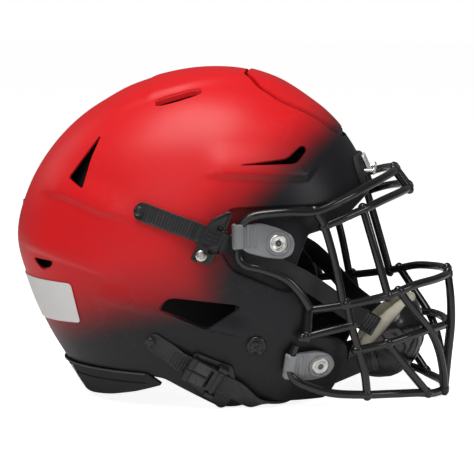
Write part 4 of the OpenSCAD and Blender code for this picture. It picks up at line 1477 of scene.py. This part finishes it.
@dataclass
class ChinCup:
    """The hard chin cup with its moulded ridges, vents and ribbed strap lugs."""

    centre: tuple = (118.0, 0.0, 52.0)
    size: tuple = (39.0, 46.0, 42.0)
    wall: float = 3.0
    tilt: float = 41.0
    cut: float = 2.0

    def _frame(self) -> Matrix:
        """The cup's own axes: local X looks out of its crown, down and forwards."""
        return Matrix.Translation(self.centre) @ Matrix.Rotation(math.radians(self.tilt), 4, "Y")

    def _bowl(self) -> bpy.types.Object:
        """The bowl: half an egg with a rolled rim and raised bands, then given its wall."""
        bpy.ops.object.select_all(action="DESELECT")
        bpy.ops.mesh.primitive_uv_sphere_add(segments=96, ring_count=64, radius=1)
        bowl = bpy.context.object
        bowl.data.transform(Matrix.Rotation(math.pi / 2, 4, "X"))
        bowl.data.transform(Matrix.Translation(self.centre) @ Matrix.Diagonal((*self.size, 1)))
        out = Vector((math.cos(math.radians(self.tilt)), 0, -math.sin(math.radians(self.tilt))))
        middle = Vector(self.centre)
        bpy.ops.object.mode_set(mode="EDIT")
        bpy.ops.mesh.select_all(action="SELECT")
        bpy.ops.mesh.bisect(plane_co=middle + out * self.cut, plane_no=out, clear_inner=True)
        bpy.ops.object.mode_set(mode="OBJECT")
        up = Vector((out.z, 0, -out.x)) * -1

        def step(low: float, top: float, value: float) -> float:
            """A smooth step of one value."""
            return float(smooth(low, top, np.array(value)))

        for vertex in bowl.data.vertices:
            d = vertex.co - middle
            deep, wide, high = d.dot(out), abs(d.y), d.dot(up)
            n = Vector((d.x / self.size[0] ** 2, d.y / self.size[1] ** 2, d.z / self.size[2] ** 2)).normalized()
            rim = 1 - step(self.cut, self.cut + 5, deep)
            band = step(10, 13, wide) * (1 - step(24, 27, wide)) * step(8, 12, deep)
            crown = step(30, 33, deep) * 0.6
            groove = math.exp(-((high - 11) / 1.6) ** 2) + math.exp(-((high + 11) / 1.6) ** 2)
            vertex.co += n * (0.5 * rim + 0.9 * band + crown - 0.7 * groove * step(6, 10, deep) - 1.2)
        modify(bowl, "SOLIDIFY", thickness=self.wall, offset=-1.0, use_even_offset=True)
        outwards(bowl)
        return rounded(bowl, 0.8, 2, 50)

    def build(self) -> None:
        """Builds the cup and its lugs."""
        bowl = self._bowl()
        frame_of = self._frame()
        for y in (-15.5, -5.2, 5.2, 15.5):
            for z in (-19.0, 19.0):
                slot = [(z + 4.5 * math.cos(a) * (1.0 if math.cos(a) * z > 0 else 0.8), y + 1.9 * math.sin(a))
                        for a in np.linspace(0, 2 * math.pi, 20, endpoint=False)]
                cutter = slab("vent", slot, 14, 70)
                cutter.data.transform(frame_of @ Matrix.Rotation(math.pi / 2, 4, "Y"))
                carve(bowl, cutter)
        lugs = []
        for x, y, z, turn in ((110, 44.8, 62, 30), (110, 43.0, 30, -10)):
            for side in (1, -1):
                lug = box("lug", (-7.5, -1.7, -8.5), (7.5, 1.7, 8.5), 0.9)
                for k in range(5):
                    carve(lug, box("rib", (-5.6 + k * 2.6, -2.3, -7.2), (-4.3 + k * 2.6, 2.3, 7.2), 0.4), how="UNION")
                lug.data.transform(Matrix.Translation((x, side * y, z)) @ Matrix.Rotation(math.radians(turn), 4, "Y"))
                lugs.append(lug)
        ready(shaded(joined("chin_cup_shell", [bowl, *lugs]), 38), Finishes.CUP, Body.CUP.value, ["chin_cup"])


# ---------------------------------------------------------------- bumpers, plate, label and screws


@dataclass
class Trim:
    """What is fixed to the shell's outside: both bumpers, the blank plate, the label and the jaw screws."""

    form: ShellForm
    neck_outline: tuple = ((-170, 29.4), (-64, 27.4), (-52, 19), (-74, 12), (-95, 7), (-115, 4), (-170, 4))
    label_outline: tuple = ((-210, 100), (-126, 98), (-119, 66), (-210, 62))
    screw: tuple = (23.0, 52.0)

    def _layer(self, name: str, outer: float, inner: float) -> bpy.types.Object:
        """The form's skin between two depths."""
        piece = self.form.solid(name, outer, 300, 120)
        return carve(piece, self.form.solid("inner", inner, 200, 80))

    @staticmethod
    def _ahead(outline: Sequence[Point], low: float = 70.0, high: float = 160.0) -> bpy.types.Object:
        """A prism of a front-view outline in Y and Z, along X."""
        piece = slab("ahead", outline, low, high)
        piece.data.transform(Matrix(((0, 0, 1, 0), (1, 0, 0, 0), (0, 1, 0, 0), (0, 0, 0, 1))))
        outwards(piece)
        return piece

    def _side(self, outline: Sequence[Point]) -> bpy.types.Object:
        """A prism of a side-view outline across the helmet."""
        piece = slab("side", outline, -160, 160)
        piece.data.transform(Matrix.Rotation(math.pi / 2, 4, "X"))
        outwards(piece)
        return piece

    def front_bumper(self) -> None:
        """The bumper over the brow, with its tall slots, raised edge and screws."""
        shape = softened([(-44, 171.5), (44, 171.5), (44, 186), (36, 196.5), (-36, 196.5), (-44, 186)], 5.0)
        bumper = carve(self._layer("brow_bumper", -3.4, -0.4), self._ahead(shape), how="INTERSECT")
        pocket = carve(self._ahead(grown(shape, -2.2)), self.form.solid("face", -2.7, 120, 60))
        carve(bumper, pocket)
        slots = [self._ahead(softened([(y - 2.2, 173.6), (y + 2.2, 173.6), (y + 2.2, 181), (y - 2.2, 181)], 2.0))
                 for y in (-34, -20, -12, -4, 4, 12, 20, 34)]
        carve(bumper, joined("slots", slots))
        ready(shaded(bumper, 30), Finishes.RUBBER, Body.ROOT.value, ["front_bumper"])
        heads = []
        for side in (1, -1):
            head = turned("head", [(0.01, 0), (1.6, 0), (1.6, 9), (3.4, 9), (3.4, 9.8), (2.8, 10.7), (1.6, 11.1),
                                   (0.01, 11.2)], 36)
            cross_recess(head, 2.0, 11.1, 0.9)
            head.data.transform(Matrix.Translation((104, side * 27, 184)) @ Matrix.Rotation(math.pi / 2, 4, "Y"))
            heads.append(head)
        ready(shaded(joined("brow_bumper_screws", heads), 35), Finishes.STEEL, Body.ROOT.value,
              ["front_bumper_screws"])

    def plate(self) -> None:
        """The blank plate on the bumper, with a raised border."""
        shape = softened([(-20, 183), (20, 183), (20, 196), (-20, 196)], 2.5)
        plate = carve(self._layer("brow_plate", -5.4, -3.8), self._ahead(shape), how="INTERSECT")
        carve(plate, carve(self._ahead(grown(shape, -1.4)), self.form.solid("face", -4.9, 120, 60)))
        ready(shaded(plate, 30), Finishes.PLATE, Body.ROOT.value, ["nameplate"])

    def neck_bumper(self) -> None:
        """The rubber bumper round the back of the neck, with its pale inserts and raised top edge."""
        shape = softened(self.neck_outline, 2.5)
        bumper = carve(self._layer("neck_bumper_rubber", -2.0, 6.5), self._side(shape), how="INTERSECT")
        lower = [(-220, 21.5), (-66, 20.5), (-64, 19.2), (-220, 20.2)]
        carve(bumper, carve(self._side(lower), self.form.solid("face", -1.2, 160, 70)))
        for x in (-132, -123):
            for side in (1, -1):
                slot = box("slot", (-1.9, 2 if side > 0 else -262, 5.6), (1.9, 262 if side > 0 else -2, 27.4))
                slot.data.transform(Matrix.Translation((x, 0, 0)) @ Matrix.Rotation(math.radians(-22), 4, "Y"))
                carve(bumper, carve(slot, self.form.solid("face", 1.0, 120, 60)))
        ready(shaded(bumper, 30), Finishes.RUBBER, Body.ROOT.value, ["neck_bumper"])
        line = [(x, -self.form.side_y(x, z, -2.0), z) for x, z in even(np.array([(-166.0, 29.2), (-66.0, 27.2)]), 0.5)
                if self.form.side_y(x, z, -2.0) > 0.5]
        path = np.array(line)
        path = even(np.concatenate([(path * (1, -1, 1))[::-1], path]), 3.0)
        ready(shaded(swept("neck_bumper_bead", path, 0.75, sides=2), 60), Finishes.GREY_PLASTIC, Body.ROOT.value)

    def label(self) -> None:
        """The blank label round the back, with rounded corners."""
        shape = softened(self.label_outline, 3.0)
        label = carve(self._layer("blank_rear_label", -1.0, -0.4), self._side(shape), how="INTERSECT")
        ready(shaded(label, 30), Finishes.LABEL, Body.ROOT.value, ["rear_label"])

    def jaw_screws(self) -> None:
        """The dished black screws that hold the jaw pads."""
        screw = turned("screw", [(0.01, -6), (2.8, -6), (2.8, 0.6), (8, 0.6), (8, 1.9), (7.4, 2.7), (6.6, 3.0),
                                 (5.6, 2.5),
                                 (4.9, 1.9), (4.3, 2.1), (3.6, 2.5), (0.01, 2.7)], 56)
        cross_recess(screw, 2.3, 2.7, 1.1)
        screw.data.transform(self.form.place(*self.screw))
        screws = [screw, mirrored(screw, "screw")]
        ready(shaded(joined("jaw_pad_screws", screws), 35), Finishes.PLASTIC, Body.ROOT.value, ["jaw_screws"])

    def build(self) -> None:
        """Builds all the trim."""
        self.front_bumper()
        self.plate()
        self.neck_bumper()
        self.label()
        self.jaw_screws()


# ---------------------------------------------------------------- padding


@dataclass(frozen=True)
class PadPlan:
    """One padded piece: the node it stands for, its body, how far it may swell and where it is seamed.

    Seams are planes: an axis (0, 1 or 2) and a place on it, in millimetres.
    """

    name: str
    node: str
    body: str
    shrink: float
    swell: float
    seams: tuple
    fill: float = 0.7
    voxel: float = 5.0
    foam: bool = False


@dataclass
class Padding:
    """The padded lining and the chin cup's liner, each swelled as cloth and then seamed."""

    form: ShellForm
    plans: tuple = (
        PadPlan("crown_cushion", "crown_pad", "root", 2.2, 5.0, ((1, -19), (1, 19), (0, -30))),
        PadPlan("front_cushion", "front_pad", "root", 2.2, 5.0, ((1, -26), (1, 0), (1, 26))),
        PadPlan("back_cushion", "back_pad", "root", 2.2, 5.0, ((1, -24), (1, 24), (2, 150))),
        PadPlan("neck_cushion", "neck_pad", "root", 2.2, 4.0, ((1, -22), (1, 22))),
        PadPlan("side_cushion_right", "side_pad_right", "root", 2.2, 5.0, ((0, -38), (2, 158))),
        PadPlan("jaw_cushion_right", "jaw_pad_right", "root", 1.6, 2.5, ((2, 52),), voxel=4.0),
        PadPlan("chin_cup_liner", "chin_cup_pad", "chin_cup", 0.9, 1.5, (), voxel=4.0, foam=True),
    )

    def _start(self, plan: PadPlan) -> bpy.types.Object:
        """A closed, slightly smaller copy of the pad's node, remeshed for cloth, in metres."""
        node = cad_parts[plan.node]
        piece = node.copy()
        piece.data = node.data.copy()
        piece.name = piece.data.name = plan.name
        piece.parent = None
        piece.matrix_world = Matrix.Identity(4)
        for modifier in list(piece.modifiers):
            piece.modifiers.remove(modifier)
        bpy.context.scene.collection.objects.link(piece)
        piece.hide_render = piece.hide_viewport = False
        piece.data.materials.clear()
        if plan.foam:
            piece = joined(plan.name, [piece, self._lip()])
        only(piece)
        bpy.ops.object.mode_set(mode="EDIT")
        bpy.ops.mesh.select_all(action="SELECT")
        bpy.ops.mesh.remove_doubles(threshold=1e-6)
        bpy.ops.object.mode_set(mode="OBJECT")
        modify(piece, "REMESH", mode="VOXEL", voxel_size=plan.voxel * MM)
        normals = [v.normal.copy() for v in piece.data.vertices]
        for vertex, normal in zip(piece.data.vertices, normals):
            vertex.co -= normal * plan.shrink * MM
        return piece

    @staticmethod
    def _lip() -> bpy.types.Object:
        """The rolled edge of the chin cup's liner, which rises along both cheeks, in metres."""
        cup = ChinCup()
        turn = math.radians(cup.tilt)
        out, up = Vector((math.cos(turn), 0, -math.sin(turn))), Vector((math.sin(turn), 0, math.cos(turn)))
        rim = [Vector(cup.centre) + out * (cup.cut + 1 - 10 * math.sin(t) ** 2) + up * 38.5 * math.cos(t)
               + Vector((0, 42 * math.sin(t), 0)) for t in np.linspace(0, 2 * math.pi, 48, endpoint=False)]
        lip = swept("lip", np.array(rim), 5.2, closed=True, sides=4)
        lip.data.transform(Matrix.Scale(MM, 4))
        return lip

    def _swell(self, piece: bpy.types.Object, plan: PadPlan) -> None:
        """Blows the pad up as cloth, and holds every point to its cap."""
        before = [v.co.copy() for v in piece.data.vertices]
        only(piece)
        bpy.ops.object.modifier_add(type="CLOTH")
        cloth = piece.modifiers[-1]
        cloth.settings.use_pressure = True
        cloth.settings.uniform_pressure_force = 4.0
        cloth.settings.effector_weights.gravity = 0.0
        cloth.settings.quality = 4
        cloth.point_cache.frame_start, cloth.point_cache.frame_end = 1, 20
        for step in range(1, 21):
            bpy.context.scene.frame_set(step)
        bpy.ops.object.modifier_apply(modifier=cloth.name)
        bpy.context.scene.frame_set(1)
        cap = plan.swell * MM
        for vertex, old in zip(piece.data.vertices, before):
            move = vertex.co - old
            if move.length > cap:
                vertex.co = old + move * (cap / move.length)

    def _seam(self, piece: bpy.types.Object, plan: PadPlan) -> None:
        """Draws the pad in along its seams."""
        normals = [v.normal.copy() for v in piece.data.vertices]
        for vertex, normal in zip(piece.data.vertices, normals):
            pull = max((math.exp(-((vertex.co[axis] / MM - at) / 3.0) ** 2) for axis, at in plan.seams), default=0.0)
            vertex.co -= normal * 3.0 * MM * pull

    def build(self) -> None:
        """Builds every pad, and the left ones as twins of the right."""
        for plan in self.plans:
            pad = self._start(plan)
            self._swell(pad, plan)
            modify(pad, "SUBSURF", levels=1, render_levels=1)
            self._seam(pad, plan)
            modify(pad, "SMOOTH", iterations=2, factor=0.5)
            twins = [(pad, plan.node)]
            if plan.node.endswith("right"):
                twins.append((mirrored(pad, plan.name.replace("right", "left")), plan.node.replace("right", "left")))
            for piece, node in twins:
                piece.data.materials.append((Finishes.FOAM if plan.foam else Finishes.SKIN).make())
                shaded(piece, 180)
                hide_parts(node)
                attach(piece, plan.body)
                LOG.info("%s: %d faces", piece.name, len(piece.data.polygons))


def dress_left_over() -> None:
    """Gives every carried-over node the finish that its name calls for."""
    finishes = {"screw": Finishes.STEEL, "pin": Finishes.DARK_STEEL, "washer": Finishes.STEEL,
                "sleeve": Finishes.DARK_STEEL,
                "strap": Finishes.WEBBING, "pad": Finishes.SKIN, "clip": Finishes.SMOKED, "nameplate": Finishes.PLATE,
                "label": Finishes.PLATE, "inserts": Finishes.PLATE}
    for name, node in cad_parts.items():
        finish = next((f for word, f in finishes.items() if word in name), Finishes.PLASTIC)
        node.data.materials.clear()
        node.data.materials.append(finish.make())


# ---------------------------------------------------------------- the studio


@dataclass
class Studio:
    """The camera, the pale floor and the soft lights, in metres."""

    target: Point = (0.0, 0.0, 0.12616)
    azimuth: float = 4.0
    elevation: float = 6.0
    distance: float = 2.0
    width: float = 474 * 0.00083
    sky: float = 0.10
    glow: float = 0.90

    def _light(self, name: str, place: Point, size: float, power: float, warmth: float = 0.0) -> None:
        """A soft square light aimed at the helmet."""
        data = bpy.data.lights.new(name, "AREA")
        data.shape, data.size, data.energy = "SQUARE", size, power
        data.color = (1.0, 1.0 - 0.03 * warmth, 1.0 - 0.07 * warmth)
        lamp = bpy.data.objects.new(name, data)
        bpy.context.scene.collection.objects.link(lamp)
        lamp.location = place
        lamp.rotation_euler = (Vector(self.target) - Vector(place)).to_track_quat("-Z", "Y").to_euler()

    def camera(self) -> None:
        """Sets the camera that the scene is seen through."""
        a, e = math.radians(self.azimuth), math.radians(self.elevation)
        back = Vector((math.sin(a) * math.cos(e), -math.cos(a) * math.cos(e), math.sin(e)))
        data = bpy.data.cameras.new("studio_camera")
        data.sensor_width, data.clip_start, data.clip_end = 36.0, 0.05, 50.0
        data.lens = 36.0 * self.distance / self.width
        camera = bpy.data.objects.new("studio_camera", data)
        bpy.context.scene.collection.objects.link(camera)
        camera.location = Vector(self.target) + back * self.distance
        camera.rotation_euler = back.to_track_quat("Z", "Y").to_euler()
        bpy.context.scene.camera = camera

    def floor(self) -> None:
        """Lays the plain pale floor."""
        bpy.ops.object.select_all(action="DESELECT")
        bpy.ops.mesh.primitive_grid_add(x_subdivisions=8, y_subdivisions=8, size=24)
        floor = bpy.context.object
        floor.name = "studio_floor"
        floor.data.transform(Matrix.Translation((0, 0, -0.0004)))
        pale = Finish("pale_floor", "pale_plate", (0.90, 0.90, 0.90), (0.88, 0.88, 0.88), roughness=0.9, bump=0.00001,
                      scuffs=0.0, specular=0.0).make()
        shader = pale.node_tree.nodes["Principled BSDF"]
        shader.inputs["Emission Color"].default_value = (1, 1, 1, 1)
        path, level = pale.node_tree.nodes.new("ShaderNodeLightPath"), pale.node_tree.nodes.new("ShaderNodeMath")
        level.operation = "MULTIPLY"
        level.inputs[1].default_value = self.glow
        pale.node_tree.links.new(path.outputs["Is Camera Ray"], level.inputs[0])
        pale.node_tree.links.new(level.outputs[0], shader.inputs["Emission Strength"])
        floor.data.materials.append(pale)

    def lights(self) -> None:
        """Hangs the lights and sets the pale surroundings."""
        world = bpy.data.worlds.new("studio_world")
        bpy.context.scene.world = world
        world.use_nodes = True
        tree = world.node_tree
        sky = tree.nodes["Background"]
        sky.inputs["Color"].default_value = (1, 1, 1, 1)
        path = tree.nodes.new("ShaderNodeLightPath")
        level = tree.nodes.new("ShaderNodeMapRange")
        level.inputs["To Min"].default_value, level.inputs["To Max"].default_value = self.sky, 1.0
        tree.links.new(path.outputs["Is Camera Ray"], level.inputs["Value"])
        tree.links.new(level.outputs[0], sky.inputs["Strength"])
        self._light("top_light", (-0.15, -0.45, 1.40), 0.9, 16.0, 0.3)
        self._light("front_light", (1.5, -0.7, 0.75), 0.6, 3.6)
        self._light("camera_light", (-0.6, -1.9, 0.9), 0.8, 3.6)
        self._light("rear_light", (-1.4, 0.8, 0.9), 0.7, 1.2)
        bpy.context.scene.view_settings.view_transform = "Standard"


def main() -> None:
    """Builds the helmet, piece by piece, and the studio round it."""
    studio = Studio()
    studio.camera()
    form = ShellForm()
    parts = {"shell": HelmetShell(form), "mask": FaceMask()}
    parts |= {"clips": MaskClips(form), "buckles": Buckles(form), "straps": Straps(form)}
    parts |= {"chin cup": ChinCup(), "trim": Trim(form), "padding": Padding(form)}
    for name, part in parts.items():
        LOG.info("building the %s", name)
        part.build()
    dress_left_over()
    studio.floor()
    studio.lights()


if __name__ == "__main__":
    logging.basicConfig(level=logging.INFO, format="%(name)s %(message)s")
    main()
